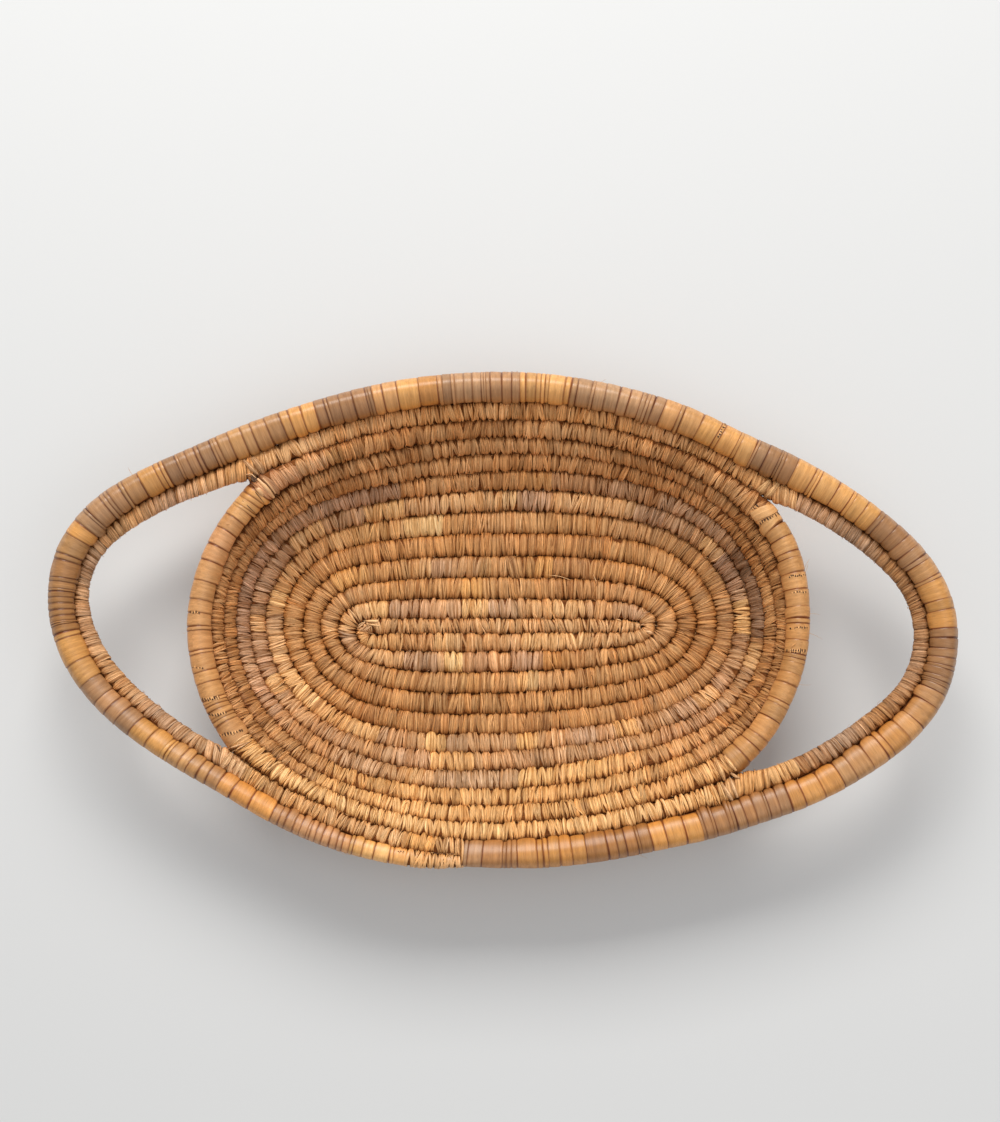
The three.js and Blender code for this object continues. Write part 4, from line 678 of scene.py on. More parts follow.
# The rim's wide wraps begin a little before the tail ends.
TAIL_END = 8951.0
WRAP[int(TAIL_END):int(LEN["rim_near_side"][0]) + 1] = 1
PITCH[int(TAIL_END):int(LEN["rim_near_side"][0]) + 1] = 11.0
COLOUR[int(TAIL_END):int(LEN["rim_near_side"][0]) + 1] = PALETTE["grey_brown"] * 0.6 + PALETTE["pinkish"] * 0.4
for n in ("end_rim_wrap_left", "end_rim_wrap_right"):
    WRAP[span(n)] = 1
    PITCH[span(n)] = 5.6
    FINE[span(n)] = 0.0
    SLANT[span(n)] = 2.2
for n, lean in (("handle_inner_right", 0.6), ("handle_inner_left", -0.9)):
    PITCH[span(n)] = 5.0
    FINE[span(n)] = 0.30
    SLANT[span(n)] = lean
    CALM[span(n)] = 1
for n, lean in (("handle_lashing_near_right", -2.4), ("handle_lashing_far_right", 2.6),
                ("handle_lashing_far_left", -2.8), ("handle_lashing_near_left", 3.0)):
    PITCH[span(n)] = 6.4
    FINE[span(n)] = 0.12
    SLANT[span(n)] = lean
    CALM[span(n)] = 1
    PINCH_OUT[span(n)] = PINCH_IN[span(n)] = 0.36
CALM[span("far_side_row_10", (262, 490), (302, 473))] = 0.4
PINCH_OUT[span("far_side_row_10", (262, 490), (345, 458))] = 0.75
CALM[span("near_side_row_11", (742, 800), (802, 776))] = 1
for lab in ("B7", "B8", "B9", "B10"):
    PINCH_OUT[span(lab)] = 0.70
PINCH_OUT[span("near_side_row_11")] = 0.70
PINCH_IN[span("T1", (352, 612), (640, 617))] = 0.78
PINCH_IN[span("T6", (745, 650), (262, 610))] = 0.70
base = (ROW < 5.4) & (ROW > 1.5)
PINCH_OUT[base], PINCH_IN[base] = 0.38, 0.38
CALM = np.maximum(CALM, 0.45 * base)
for lab, a, b in (("T5", (405, 524), (443, 521)), ("B2", (442, 662), (463, 662))):
    CALM[span(lab, a, b)] = 0.95
    PINCH_OUT[span(lab, a, b)] = PINCH_IN[span(lab, a, b)] = 0.22
PITCH *= 1 + drift(31.0, 0.14, 5)
SOFT = blurred(SOFT, 3.0)
CALM = blurred(CALM, 6.0)
FINE = np.clip(FINE + drift(41.0, 0.25, 6), 0, 1)
SLANT = blurred(SLANT, 5.0) + (drift(47.0, 0.85, 8) + drift(17.0, 0.60, 9)) * (1 - 0.6 * WRAP) * (1 - 0.6 * CALM)
COLOUR = blurred(COLOUR, 0.8) * np.array([0.985, 0.975, 0.93])
far = (ROW >= 10.9) & (ROW <= 11.1) & (P[:, 1] > 60)
COLOUR[far] *= 1.36
COLOUR[(ROW >= 7.9) & (ROW < 10.9) & (P[:, 1] > 60)] *= 1.08
COLOUR[span("rim_near_side")] *= np.array([0.985, 0.94, 0.82])
COLOUR[span("rim_handle_left")] *= np.array([0.94, 0.97, 1.0])
COLOUR[span("near_side_row_11")] *= np.array([1.21, 1.29, 1.40])
COLOUR[span("B8")] *= 1.13
COLOUR[span("B8", (400, 783), (600, 783))] *= np.array([1.03, 1.06, 1.06])
COLOUR[span("B5", (400, 725), (600, 725))] *= 0.97
COLOUR[span("B6", (430, 745), (530, 745))] *= np.array([0.94, 0.95, 0.91])
COLOUR[span("T6", (516, 502), (440, 503))] *= np.array([1.04, 1.11, 1.19])
COLOUR[span("handle_inner_right")] *= 0.89
COLOUR[span("handle_lashing_near_left")] *= 1.04
COLOUR[span("T3")] *= 0.97
COLOUR[span("T5", (405, 524), (424, 522))] *= np.array([1.05, 1.12, 1.18])
COLOUR[span("T5", (425, 522), (443, 521))] *= np.array([1.14, 1.25, 1.33])
COLOUR[span("B2", (442, 662), (463, 662))] *= np.array([1.03, 1.14, 1.22])
COLOUR[span("T1", (488, 610), (552, 611))] *= np.array([1.07, 1.13, 1.18])
COLOUR[span("far_side_row_10", (262, 490), (302, 473))] *= np.array([0.88, 0.85, 0.80])
COLOUR[span("far_side_row_10", (303, 473), (345, 458))] *= np.array([0.90, 0.93, 0.88])
COLOUR *= 1 - (0.055 * smooth(ROW, 6.6, 7.2) * (1 - smooth(ROW, 11.2, 11.6)) * smooth(-P[:, 1], 60, 90) * (1 - smooth(PIX[:, 0], 620, 680)))[:, None] * np.array([1.0, 0.5, 0.4])
COLOUR *= 1 - (0.11 * smooth(ROW, 5.6, 6.2) * (1 - smooth(ROW, 9.6, 9.9)) * smooth(PIX[:, 0], 715, 745))[:, None] * np.array([1.0, 1.1, 1.6])
COLOUR[span("T1", (391, 607), (426, 607))] *= 1.06
COLOUR *= 1 - (0.17 * smooth(PIX[:, 0], 650, 705) * smooth(ROW, 1.6, 2.2) * (1 - smooth(ROW, 5.3, 5.7)))[:, None] * np.array([0.85, 1.0, 1.2])
COLOUR *= np.where(WRAP > 0.5, 1.0, 0.99)[:, None]
COLOUR[WRAP > 0.5] *= np.array([1.0, 0.97, 0.86])

# The start of the coil is rounded off, and so is its tail.
ends = np.sqrt(np.clip(1 - (1 - np.clip(SS / 6.0, 0, 1)) ** 2, 0, 1)) * np.sqrt(np.clip(1 - (1 - np.clip((SS[-1] - SS) / 6.0, 0, 1)) ** 2, 0, 1))
ends = 0.12 + 0.88 * ends
FIELDS[:, 12:15] *= ends[:, None]


# ------------------------------------------------------------------ mesh making
def mesh_object(name, verts, quads, mapping, atlas, colours, material, tris=None):
    """A smooth-shaded mesh. verts in millimetres; mapping (for grain, in millimetres) and atlas (the OFBake map) are
    per corner of each quad.
    """
    me = bpy.data.meshes.new(name)
    nq, nt = len(quads), 0 if tris is None else len(tris)
    me.vertices.add(len(verts))
    me.vertices.foreach_set("co", (verts / 1000.0).astype(np.float32).ravel())
    loops = quads.ravel() if tris is None else np.concatenate([quads.ravel(), tris.ravel()])
    me.loops.add(len(loops))
    me.loops.foreach_set("vertex_index", loops.astype(np.int32))
    me.polygons.add(nq + nt)
    starts = np.concatenate([np.arange(nq) * 4, nq * 4 + np.arange(nt) * 3])
    totals = np.concatenate([np.full(nq, 4), np.full(nt, 3)])
    me.polygons.foreach_set("loop_start", starts.astype(np.int32))
    me.polygons.foreach_set("loop_total", totals.astype(np.int32))
    me.polygons.foreach_set("use_smooth", np.ones(nq + nt, bool))
    for nm, uv in (("grain", mapping), ("OFBake", atlas)):
        layer = me.uv_layers.new(name=nm)
        layer.data.foreach_set("uv", uv.astype(np.float32).ravel())
    ca = me.color_attributes.new(name="Tone", type="FLOAT_COLOR", domain="POINT")
    rgba = np.concatenate([colours, np.ones((len(colours), 1))], 1)
    ca.data.foreach_set("color", rgba.astype(np.float32).ravel())
    me.update(calc_edges=True)
    me.validate()
    me.materials.append(material)
    ob = bpy.data.objects.new(name, me)
    bpy.context.scene.collection.objects.link(ob)
    return ob


AROUND = 32
# Across a strip: places from edge to edge, and how high each place stands.
PROFILES = {
    "ribbon": (np.array([-1.0, -0.95, -0.80, -0.45, 0.0, 0.45, 0.80, 0.95, 1.0]),
               np.array([0.22, 0.70, 0.88, 0.97, 1.0, 0.97, 0.88, 0.70, 0.22])),
    "strand": (np.array([-1.0, -0.62, 0.0, 0.62, 1.0]), np.array([0.0, 0.78, 1.0, 0.78, 0.0])),
    "leaf": (np.array([-1.0, -0.94, -0.87, -0.80, -0.40, 0.1, 0.55, 0.80, 0.92, 1.0]),
             np.array([0.20, 0.84, 0.92, 0.97, 1.0, 1.0, 1.0, 1.0, 0.92, -0.10])),
}
KEYS = ("s", "off", "half", "slant", "lean", "phase", "lift", "tilt", "pin_in", "pin_out", "pin_w", "seed", "seam", "seam_w",
        "near_out", "near_in", "square", "ext_out", "ext_in", "edge", "rise", "line")


def bump(theta, centre, width, power=2):
    d = np.abs((theta - centre + np.pi) % (2 * np.pi) - np.pi)
    return np.exp(-((d / width) ** power))


def strand_arrays(st, profile):
    """Strips round the coil, one entry of st each. s: middle of its stitch; off, half: place and half width in it;
    slant, lean: how it tilts; lift, tilt: height; pin_*: how much its ends narrow; ext_*: how far they reach over the
    seam; seam: how strongly painted shade darkens them towards the seams."""
    n = len(st["s"])
    th = np.linspace(0, 2 * np.pi, AROUND, endpoint=False) + 0.098
    th = th - 0.16 * np.sin(2 * th)          # closer together towards the seams
    TH = th[None, :, None]
    ACR, CRN = PROFILES[profile]
    g = lambda k: st[k][:, None, None]
    B = ACR[None, None, :]
    if profile == "leaf":                    # its edges turn down over the same few tenths of a millimetre on any width
        near_edge = np.clip((np.abs(B) - 0.80) / 0.20, 0, 1)
        B = np.sign(B) * np.where(np.abs(B) > 0.79, 1 - np.minimum(1.20 / g("half"), 0.6) * (1 - near_edge), np.abs(B) * (1 - np.minimum(1.20 / g("half"), 0.6)) / 0.80)
    at_out, at_in = bump(TH, 0.0, g("pin_w")), bump(TH, np.pi, g("pin_w"))
    squeeze = 1 - g("pin_out") * at_out - g("pin_in") * at_in
    s = g("s") + (g("off") + B * g("half")) * squeeze + g("slant") * np.cos(TH) + g("lean") * np.sin(TH + g("phase"))
    ripple = {"ribbon": 0.07, "strand": 0.0, "leaf": 0.018}[profile] * np.sin(B * g("half") * (1.1 if profile == "leaf" else 3.4) + g("seed"))
    height = (g("lift") + ripple) * CRN[None, None, :] + g("tilt") * B - g("edge") * (np.abs(B) > 0.99) + g("rise")
    height = height * (1 - 0.20 * (at_out * g("near_out") + at_in * g("near_in")))
    TT = np.broadcast_to(TH, s.shape)
    mid = 1 - B * B * (0.35 if profile == "leaf" else 0.75)
    v = on_coil(s, TT, height, g("square") * mid, g("ext_out") * mid, g("ext_in") * mid)
    A, C = AROUND, len(ACR)
    base = (np.arange(n) * A * C)[:, None, None]
    i = np.arange(A)[None, :, None]
    j = np.arange(C - 1)[None, None, :]
    i2 = (i + 1) % A
    quads = np.stack(np.broadcast_arrays(base + i * C + j, base + i * C + j + 1, base + i2 * C + j + 1, base + i2 * C + j), -1).reshape(-1, 4)
    # grain: across in millimetres, along in millimetres
    r = 6.4
    across = lambda jj: g("off") * 0 + g("seed") + (ACR[jj])[None, None, :] * g("half") + 0 * i
    along = lambda ii: ii * (2 * np.pi * r / A) + 0 * g("off") + 0 * j + 17.3 * g("seed")
    shape = (n, A, C - 1)
    ua, ub = np.broadcast_to(across(np.arange(C - 1)), shape), np.broadcast_to(across(np.arange(1, C)), shape)
    va, vb = np.broadcast_to(along(i), shape), np.broadcast_to(along(i + 1), shape)
    grain = np.stack([np.stack([ua, va], -1), np.stack([ub, va], -1), np.stack([ub, vb], -1), np.stack([ua, vb], -1)], 3).reshape(-1, 2)
    cell_x = np.broadcast_to((i + 0 * j) / A, shape)
    ya, yb = np.broadcast_to((ACR[j] + 1) / 2, shape), np.broadcast_to((ACR[j + 1] + 1) / 2, shape)
    cell = np.stack([np.stack([cell_x, ya], -1), np.stack([cell_x, yb], -1), np.stack([cell_x + 1 / A, yb], -1), np.stack([cell_x + 1 / A, ya], -1)], 3).reshape(-1, 2)
    owner = np.repeat(np.arange(n), A * (C - 1) * 4)
    # painted shade: dark pulls each strip towards the seam shade colour in the seams between rows, where shade falls
    dark = np.clip(bump(TH, 0.0, g("seam_w"), 3) * g("near_out") + bump(TH, np.pi, g("seam_w"), 3) * g("near_in"), 0, 1) * g("seam")
    # painted shade: each row is darkened gradually from its crown towards both seams, the way a lit round tube is
    painted_tube_shade = np.clip(bump(TH, 0.0, 0.95) * g("near_out") + bump(TH, np.pi, 0.95) * g("near_in"), 0, 1) * g("seam")
    if profile == "leaf":                    # a strip's upper edge shows as a thin line, its lower one lies under the next; both edges are darkened with painted shadow, most along the lower edge, which lies under the strip before
        line = (0.42 + 0.48 * np.abs(np.sin(g("seed") * 12.9)))[..., None] * np.array([0.84, 1.05, 1.20])
        edge = 1 - np.clip(line * np.array([0.9, 0.9, 0.85, 0.08, 0, 0, 0, 0.0, 0.45, 1.0])[None, None, :, None], 0, 0.97)
    else:
        # painted shadow lines at the edges of ribbons and strands, and painted shade that darkens each ribbon from its
        # middle to its sides
        edge = (1.05 - g("line") * ((np.abs(B) > 0.99) + 0.6 * (g("line") > 0.6) * (np.abs(np.abs(B) - 0.95) < 0.01)) - (0.15 * B * B if profile == "ribbon" else 0.0))[..., None]
    rgb = st["rgb"][:, None, None, :] * (1 - dark[..., None] * (1 - PAINTED_SEAM_SHADE)) * (1 - painted_tube_shade[..., None] * np.array([0.14, 0.33, 0.66])) * edge
    rgb = np.broadcast_to(rgb, (n, A, C, 3)).reshape(-1, 3)
    return v.reshape(-1, 3), quads, grain, cell, owner, rgb, n


def merge(name, parts, material):
    """One mesh out of several sets of strips, with one atlas cell for each strip."""
    total = sum(p[6] for p in parts)
    cols = max(1, int(round(math.sqrt(total * 3.2 / 41.0))))
    rows = int(math.ceil(total / cols))
    verts, quads, grain, atlas, rgb = [], [], [], [], []
    nv = ns = 0
    for v, q, gr, cell, owner, c, n in parts:
        k = owner + ns
        x = (k % cols + 0.02 + 0.96 * cell[:, 0]) / cols
        y = (k // cols + 0.08 + 0.84 * cell[:, 1]) / rows
        verts.append(v)
        quads.append(q + nv)
        grain.append(gr)
        atlas.append(np.stack([x, y], -1))
        rgb.append(c)
        nv += len(v)
        ns += n
    return mesh_object(name, np.concatenate(verts), np.concatenate(quads), np.concatenate(grain), np.concatenate(atlas), np.concatenate(rgb), material)


def stitches(s0, s1):
    """Stitch middles and widths between two distances along the coil."""
    if s0 < TAIL_END < s1 - 1:
        a, b = stitches(s0, TAIL_END), stitches(TAIL_END, s1)
        return np.concatenate([a[0], b[0]]), np.concatenate([a[1], b[1]])
    out, s = [], s0
    while s < s1:
        i = min(N - 1, int(s / DS))
        if WRAP[i] > 0.5:                    # wide leaves, with a narrow one slipped in here and there
            w = PITCH[i] * (rng.uniform(0.22, 0.45) if rng.random() < 0.22 + 0.15 * FINE[i] else float(np.clip(1.12 + 0.22 * rng.normal(), 0.6, 1.5)))
        else:
            w = PITCH[i] * float(np.clip(1 + 0.27 * rng.normal(), 0.5, 1.8))
        out.append([s, w])
        s += w
    a = np.array(out)
    k = (s1 - s0) / (s - s0)
    mid = s0 + (a[:, 0] - s0 + a[:, 1] / 2) * k
    return mid, a[:, 1] * k


def sewn(name, s0, s1, material):
    mid, wid = stitches(s0, s1)
    sets = {p: ({k: [] for k in KEYS}, []) for p in PROFILES}

    def add(profile, rgb, **values):
        cols, tones = sets[profile]
        for k in KEYS:
            cols[k].append(values[k])
        tones.append(rgb)

    for m, w in zip(mid, wid):
        i = min(N - 1, int(m / DS))
        fine = FINE[i]
        no, ni = NEAR_OUT[i], NEAR_IN[i]
        shade = float(np.clip(1 + (0.085 if WRAP[i] > 0.5 else 0.095 * (1 - 0.3 * CALM[i])) * rng.normal(), 0.78, 1.24))
        warm = float(np.clip(0.018 * rng.normal(), -0.04, 0.04))
        tone = COLOUR[i] * shade * (1.0 if WRAP[i] > 0.5 else 1.04) * np.array([1 + warm, 1, 1 - 1.4 * warm])
        common = dict(s=m, near_out=no, near_in=ni)
        if WRAP[i] > 0.5:
            slant = SLANT[i] + 0.20 * rng.normal()
            add("leaf", tone, off=0.0, half=w / 2 + 0.28, slant=slant, lean=0.16 * rng.normal(), phase=rng.uniform(0, 6.28),
                lift=0.50 + 0.03 * rng.normal(), tilt=0.13 + 0.03 * rng.normal(), pin_in=float(np.clip(0.36 + 0.16 * rng.normal(), 0, 0.7)) * ni,
                pin_out=0.08 * no, pin_w=0.52, seed=rng.uniform(0, 60), seam=0.95 - 0.50 * SOFT[i], seam_w=0.46, square=0.45 * max(no, ni), ext_out=0.2 * no, line=0.0,
                ext_in=float(np.clip(0.8 + 0.90 * rng.normal(), -0.3, 2.7)) * ni, edge=0.0, rise=0.0, **common)
            continue
        calm = 1 - 0.62 * CALM[i]
        slant = SLANT[i] + 0.62 * calm * rng.normal()
        pin_o = float(np.clip(PINCH_OUT[i] + 0.17 * rng.normal(), 0.05, 0.86)) * no
        pin_i = float(np.clip(PINCH_IN[i] + 0.17 * rng.normal(), 0.05, 0.86)) * ni
        pw = float(np.clip(0.74 + 0.17 * rng.normal(), 0.4, 1.15))
        eo = float(np.clip(0.75 + 0.50 * rng.normal(), -0.4, 1.8)) * no
        ei = float(np.clip(1.35 + 0.60 * rng.normal(), 0.0, 2.6)) * ni
        sq = float(np.clip((0.30 if ROW[i] < 5.5 else 0.50) + 0.22 * rng.normal(), 0, 1.2)) * max(no, ni)
        lift = 0.62 + 0.15 * calm * rng.normal()
        forked = rng.random() < (0.20 + 0.20 * fine) * calm
        whole = CALM[i] > 0.97
        pieces = 2 if not whole and (forked or (w > 5.4 and rng.random() < 0.35 + 0.3 * fine)) else 1
        if fine > 0.62 and w > 3.2 and rng.random() < 0.55:
            pieces = int(np.clip(round(w / 1.9), 2, 4))
        cut = rng.uniform(0.75, 1.25, pieces)
        cut /= cut.sum()
        pos = np.concatenate([[0], np.cumsum(cut)]) - 0.5
        for q in range(pieces):
            k = float(np.clip(1 + 0.05 * rng.normal(), 0.85, 1.15))
            fork = (0.65 + 0.5 * rng.random()) * (q - (pieces - 1) / 2) * 2 / max(1, pieces - 1) if forked else 0.18 * rng.normal() * (pieces > 1)
            add("ribbon", tone * k, off=(pos[q] + pos[q + 1]) / 2 * w, half=cut[q] * w / 2 * (1.09 if pieces < 3 else 1.02), slant=slant + fork * (1 if rng.random() < 0.7 else -1),
                lean=0.42 * calm * rng.normal(), phase=rng.uniform(0, 6.28), lift=max(0.28, lift + 0.10 * calm * rng.normal()), tilt=0.17 * calm * rng.normal(),
                pin_in=pin_i, pin_out=pin_o, pin_w=pw, seed=rng.uniform(0, 60), seam=1.0 if 1.5 < ROW[i] < 5.5 else 0.88, seam_w=float(np.clip(0.54 + 0.08 * rng.normal(), 0.36, 0.72)), square=sq, ext_out=eo, ext_in=ei, edge=0.13, rise=0.0, line=0.40 + 0.30 * whole, **common)
        for q in range(int(rng.poisson(w * (0.50 + 0.56 * fine) * (0.45 if whole else 1.0)))):
            k = float(np.clip(1.05 + 0.27 * rng.normal(), 0.5, 1.6))
            k = k * (1.22 if rng.random() < 0.12 else 1.0) * (np.array([0.96, 1.03, 1.14]) if k > 1.1 else np.array([1.03, 0.98, 0.88]))
            add("strand", tone * k, off=rng.uniform(-0.45, 0.45) * w, half=rng.uniform(0.18, 0.44), slant=slant + (1.7 if rng.random() < 0.10 else 0.75) * calm * rng.normal(), lean=0.42 * calm * rng.normal(),
                phase=rng.uniform(0, 6.28), lift=rng.uniform(0.20, 0.34), tilt=0.0, pin_in=pin_i * 0.8, pin_out=pin_o * 0.8, pin_w=pw,
                seed=rng.uniform(0, 60), seam=0.92 if 1.5 < ROW[i] < 5.5 else 0.80, seam_w=0.50, square=sq, ext_out=eo + 0.1, ext_in=ei + 0.1, edge=0.0, rise=lift - 0.16, line=0.36, **common)
    parts = []
    for profile, (cols, tones) in sets.items():
        if tones:
            st = {k: np.array(v, float) for k, v in cols.items()}
            st["rgb"] = np.array(tones) * np.minimum(1.0, 0.86 / np.array(tones).max(1, keepdims=True))
            parts.append(strand_arrays(st, profile))
    return merge(name, parts, material)


def core(name, s0, s1, material):
    """The bundle of stems inside the strips: a ridged tube, closed at both ends."""
    a, b = max(s0 - 0.2, 0.05), min(s1 + 0.2, SS[-1] - 0.05)
    ns = max(3, int((b - a) / 2.4))
    K = 30
    s = np.linspace(a, b, ns)[:, None]
    th = (np.arange(K) * 2 * np.pi / K)[None, :]
    twist = 0.5 * np.sin(s / 37.0) + s / 160.0
    ridge = np.abs(np.cos(5 * (th + twist)))
    lift = -0.42 + 0.34 * ridge + 0.05 * np.sin(s / 3.1 + 3 * th)
    S2, TH2 = np.broadcast_arrays(s, th)
    at = np.clip((S2 / DS).astype(int), 0, N - 1)
    v = on_coil(S2, TH2, lift, 0.3, 0.7 * NEAR_OUT[at], 0.7 * NEAR_IN[at])
    i = np.arange(ns - 1)[:, None]
    j = np.arange(K)[None, :]
    j2 = (j + 1) % K
    quads = np.stack(np.broadcast_arrays(i * K + j, (i + 1) * K + j, (i + 1) * K + j2, i * K + j2), -1).reshape(-1, 4)
    c0, c1 = ns * K, ns * K + 1
    verts = np.concatenate([v.reshape(-1, 3), v[0].mean(0)[None], v[-1].mean(0)[None]])
    jj = np.arange(K)
    tris = np.concatenate([np.stack([np.full(K, c0), jj, (jj + 1) % K], 1),
                           np.stack([np.full(K, c1), (ns - 1) * K + (jj + 1) % K, (ns - 1) * K + jj], 1)])
    ii, j_ = np.broadcast_arrays(i, j)
    per = 41.0 / K
    ds = (b - a) / (ns - 1)
    q = lambda u, w: np.stack([u * per, w * ds], -1)
    grain = np.stack([q(j_, ii), q(j_, ii + 1), q(j_ + 1, ii + 1), q(j_ + 1, ii)], 2).reshape(-1, 2)
    # atlas: the tube's length folded into columns
    folds = max(1, int(round(math.sqrt((b - a) / 45.0))))
    per_fold = int(math.ceil((ns - 1) / folds))
    f = ii // per_fold
    w0 = (ii % per_fold) / per_fold
    w1 = w0 + 1 / per_fold
    x = lambda jj_: (f + 0.03 + 0.94 * jj_ / K) / folds * 0.98
    z = lambda w_: 0.02 + 0.94 * w_
    atlas = np.stack([np.stack([x(j_), z(w0)], -1), np.stack([x(j_), z(w1)], -1), np.stack([x(j_ + 1), z(w1)], -1), np.stack([x(j_ + 1), z(w0)], -1)], 2).reshape(-1, 2)
    capuv = np.tile(np.array([[0.985, 0.985], [0.995, 0.985], [0.995, 0.995]]), (2 * K, 1))
    grain = np.concatenate([grain, capuv * 10])
    atlas = np.concatenate([atlas, capuv])
    stem = np.random.default_rng(int(s0) + 3).uniform(0, 1, 11)
    which = ((th + twist) % (2 * np.pi) * 10 / (2 * np.pi)).astype(int)
    # each stem has its own tone, and the grooves between the ridges are darkened with painted shade
    mix = (0.25 + 0.55 * stem[which % 10]) * (0.35 + 0.65 * ridge)
    rgb = (CORE_DARK[None, None] * (1 - mix[..., None]) + CORE_LIGHT[None, None] * mix[..., None]).reshape(-1, 3)
    rgb = np.concatenate([rgb, np.tile(CORE_LIGHT, (2, 1))])
    return mesh_object(name, verts, quads, grain, atlas, rgb, material, tris)


# ------------------------------------------------------------------ materials
def fibre_material(name, rough, rough_spread, grain_depth, grain_scale, contrast, specular, sheen=0.0, specks=1.0):
    """Plant fibre. The piece's own tone, drawn out into paler and redder lines along the strip, with blots and small specks."""
    m = bpy.data.materials.new(name)
    m.use_nodes = True
    nt = m.node_tree
    nt.nodes.clear()
    new, link = nt.nodes.new, nt.links.new
    out = new("ShaderNodeOutputMaterial")
    bsdf = new("ShaderNodeBsdfPrincipled")
    link(bsdf.outputs[0], out.inputs[0])
    tone = new("ShaderNodeAttribute")
    tone.attribute_name = "Tone"
    uv = new("ShaderNodeUVMap")
    uv.uv_map = "grain"

    def noise(sx, sy, detail, rough_):
        mp = new("ShaderNodeMapping")
        mp.inputs["Scale"].default_value = (sx, sy, 1.0)
        link(uv.outputs[0], mp.inputs[0])
        nz = new("ShaderNodeTexNoise")
        nz.noise_dimensions = "2D"
        nz.inputs["Scale"].default_value = 1.0
        nz.inputs["Detail"].default_value = detail
        nz.inputs["Roughness"].default_value = rough_
        link(mp.outputs[0], nz.inputs["Vector"])
        return nz.outputs["Fac"]

    def ramp(value, lo, hi, a, b):
        r = new("ShaderNodeMapRange")
        for key, val in (("From Min", lo), ("From Max", hi), ("To Min", a), ("To Max", b)):
            r.inputs[key].default_value = val
        link(value, r.inputs["Value"])
        return r.outputs[0]

    def math_node(op, a, b):
        n = new("ShaderNodeMath")
        n.operation = op
        for k, x in enumerate((a, b)):
            if isinstance(x, float):
                n.inputs[k].default_value = x
            else:
                link(x, n.inputs[k])
        return n.outputs[0]

    def times(vec, factor):
        n = new("ShaderNodeVectorMath")
        n.operation = "MULTIPLY"
        link(vec, n.inputs[0])
        n.inputs[1].default_value = factor
        return n.outputs[0]

    lines = noise(grain_scale, 0.045, 4.0, 0.62)
    blot = noise(0.33, 0.13, 2.0, 0.5)
    speck = noise(1.9, 0.42, 1.0, 0.5)
    c = contrast
    dark_tone = times(tone.outputs["Color"], (1 - c, 1 - 1.32 * c, 1 - 1.72 * c))
    pale_tone = times(tone.outputs["Color"], (1 + c, 1 + 1.33 * c, 1 + 1.92 * c))
    mix = new("ShaderNodeMix")
    mix.data_type = "RGBA"
    link(ramp(lines, 0.33, 0.67, 0.0, 1.0), mix.inputs[0])
    link(dark_tone, mix.inputs[6])
    link(pale_tone, mix.inputs[7])
    level = math_node("MULTIPLY", ramp(blot, 0.30, 0.70, 0.90, 1.09), ramp(speck, 0.64, 0.74, 1.0, 1.0 + 0.30 * specks))
    level = math_node("MULTIPLY", level, ramp(speck, 0.27, 0.35, 1.0 - 0.34 * specks, 1.0))
    vm = new("ShaderNodeVectorMath")
    vm.operation = "SCALE"
    link(mix.outputs[2], vm.inputs[0])
    link(level, vm.inputs["Scale"])
    link(vm.outputs[0], bsdf.inputs["Base Color"])
    link(ramp(lines, 0.0, 1.0, rough + rough_spread, rough - rough_spread), bsdf.inputs["Roughness"])
    bp = new("ShaderNodeBump")
    bp.inputs["Strength"].default_value = 1.0
    bp.inputs["Distance"].default_value = grain_depth
    link(math_node("ADD", lines, math_node("MULTIPLY", speck, 0.25)), bp.inputs["Height"])
    link(bp.outputs[0], bsdf.inputs["Normal"])
    bsdf.inputs["Specular IOR Level"].default_value = specular
    if sheen:
        bsdf.inputs["Sheen Weight"].default_value = sheen
        bsdf.inputs["Sheen Roughness"].default_value = 0.5
    return m


STRIP = fibre_material("sewn_palm_strip", 0.50, 0.10, 0.00110, 0.80, 0.46, 0.37)
LEAF = fibre_material("wide_palm_leaf", 0.38, 0.08, 0.00010, 0.55, 0.11, 0.5, specks=0.5)
CORE = fibre_material("grass_core", 0.75, 0.08, 0.00040, 1.5, 0.25, 0.15)
FIBRE = fibre_material("loose_fibre", 0.60, 0.10, 0.00005, 1.5, 0.10, 0.35)

for node, s0, s1 in LENGTHS:
    wrapped = WRAP[int((s0 + s1) / 2 / DS)] > 0.5
    joint = TAIL_END if s0 < TAIL_END < s1 - 1 else s1      # the rim's first wrap lies over the last of the sewn tail
    kind, material = ("_wraps", LEAF) if wrapped else ("_stitches", STRIP)
    cuts = np.array([s0, joint]) if wrapped else np.linspace(s0, joint, int(math.ceil((joint - s0) / 360.0)) + 1)
    made = [sewn(node + kind + (f"_{q + 1}" if len(cuts) > 2 else ""), cuts[q], cuts[q + 1], material) for q in range(len(cuts) - 1)]
    if joint < s1:
        made.append(sewn(node + "_wraps", joint, s1, LEAF))
    for piece in made:
        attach(piece, "root")
        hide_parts(node)
    inside = core(node + "_core", s0, s1, CORE)
    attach(inside, "root")

# ------------------------------------------------------------------ single strips, torn edges and loose fibres
def skin(s, th, lift):
    """Points over the sewn strips, which stand squarer than the core and reach into the seams."""
    i = np.clip((np.asarray(s) / DS).astype(int), 0, N - 1)
    w = WRAP[i]
    return on_coil(s, th, lift, (0.70 - 0.30 * w) * np.maximum(NEAR_OUT[i], NEAR_IN[i]), (0.8 - 0.6 * w) * NEAR_OUT[i], 1.5 * NEAR_IN[i])


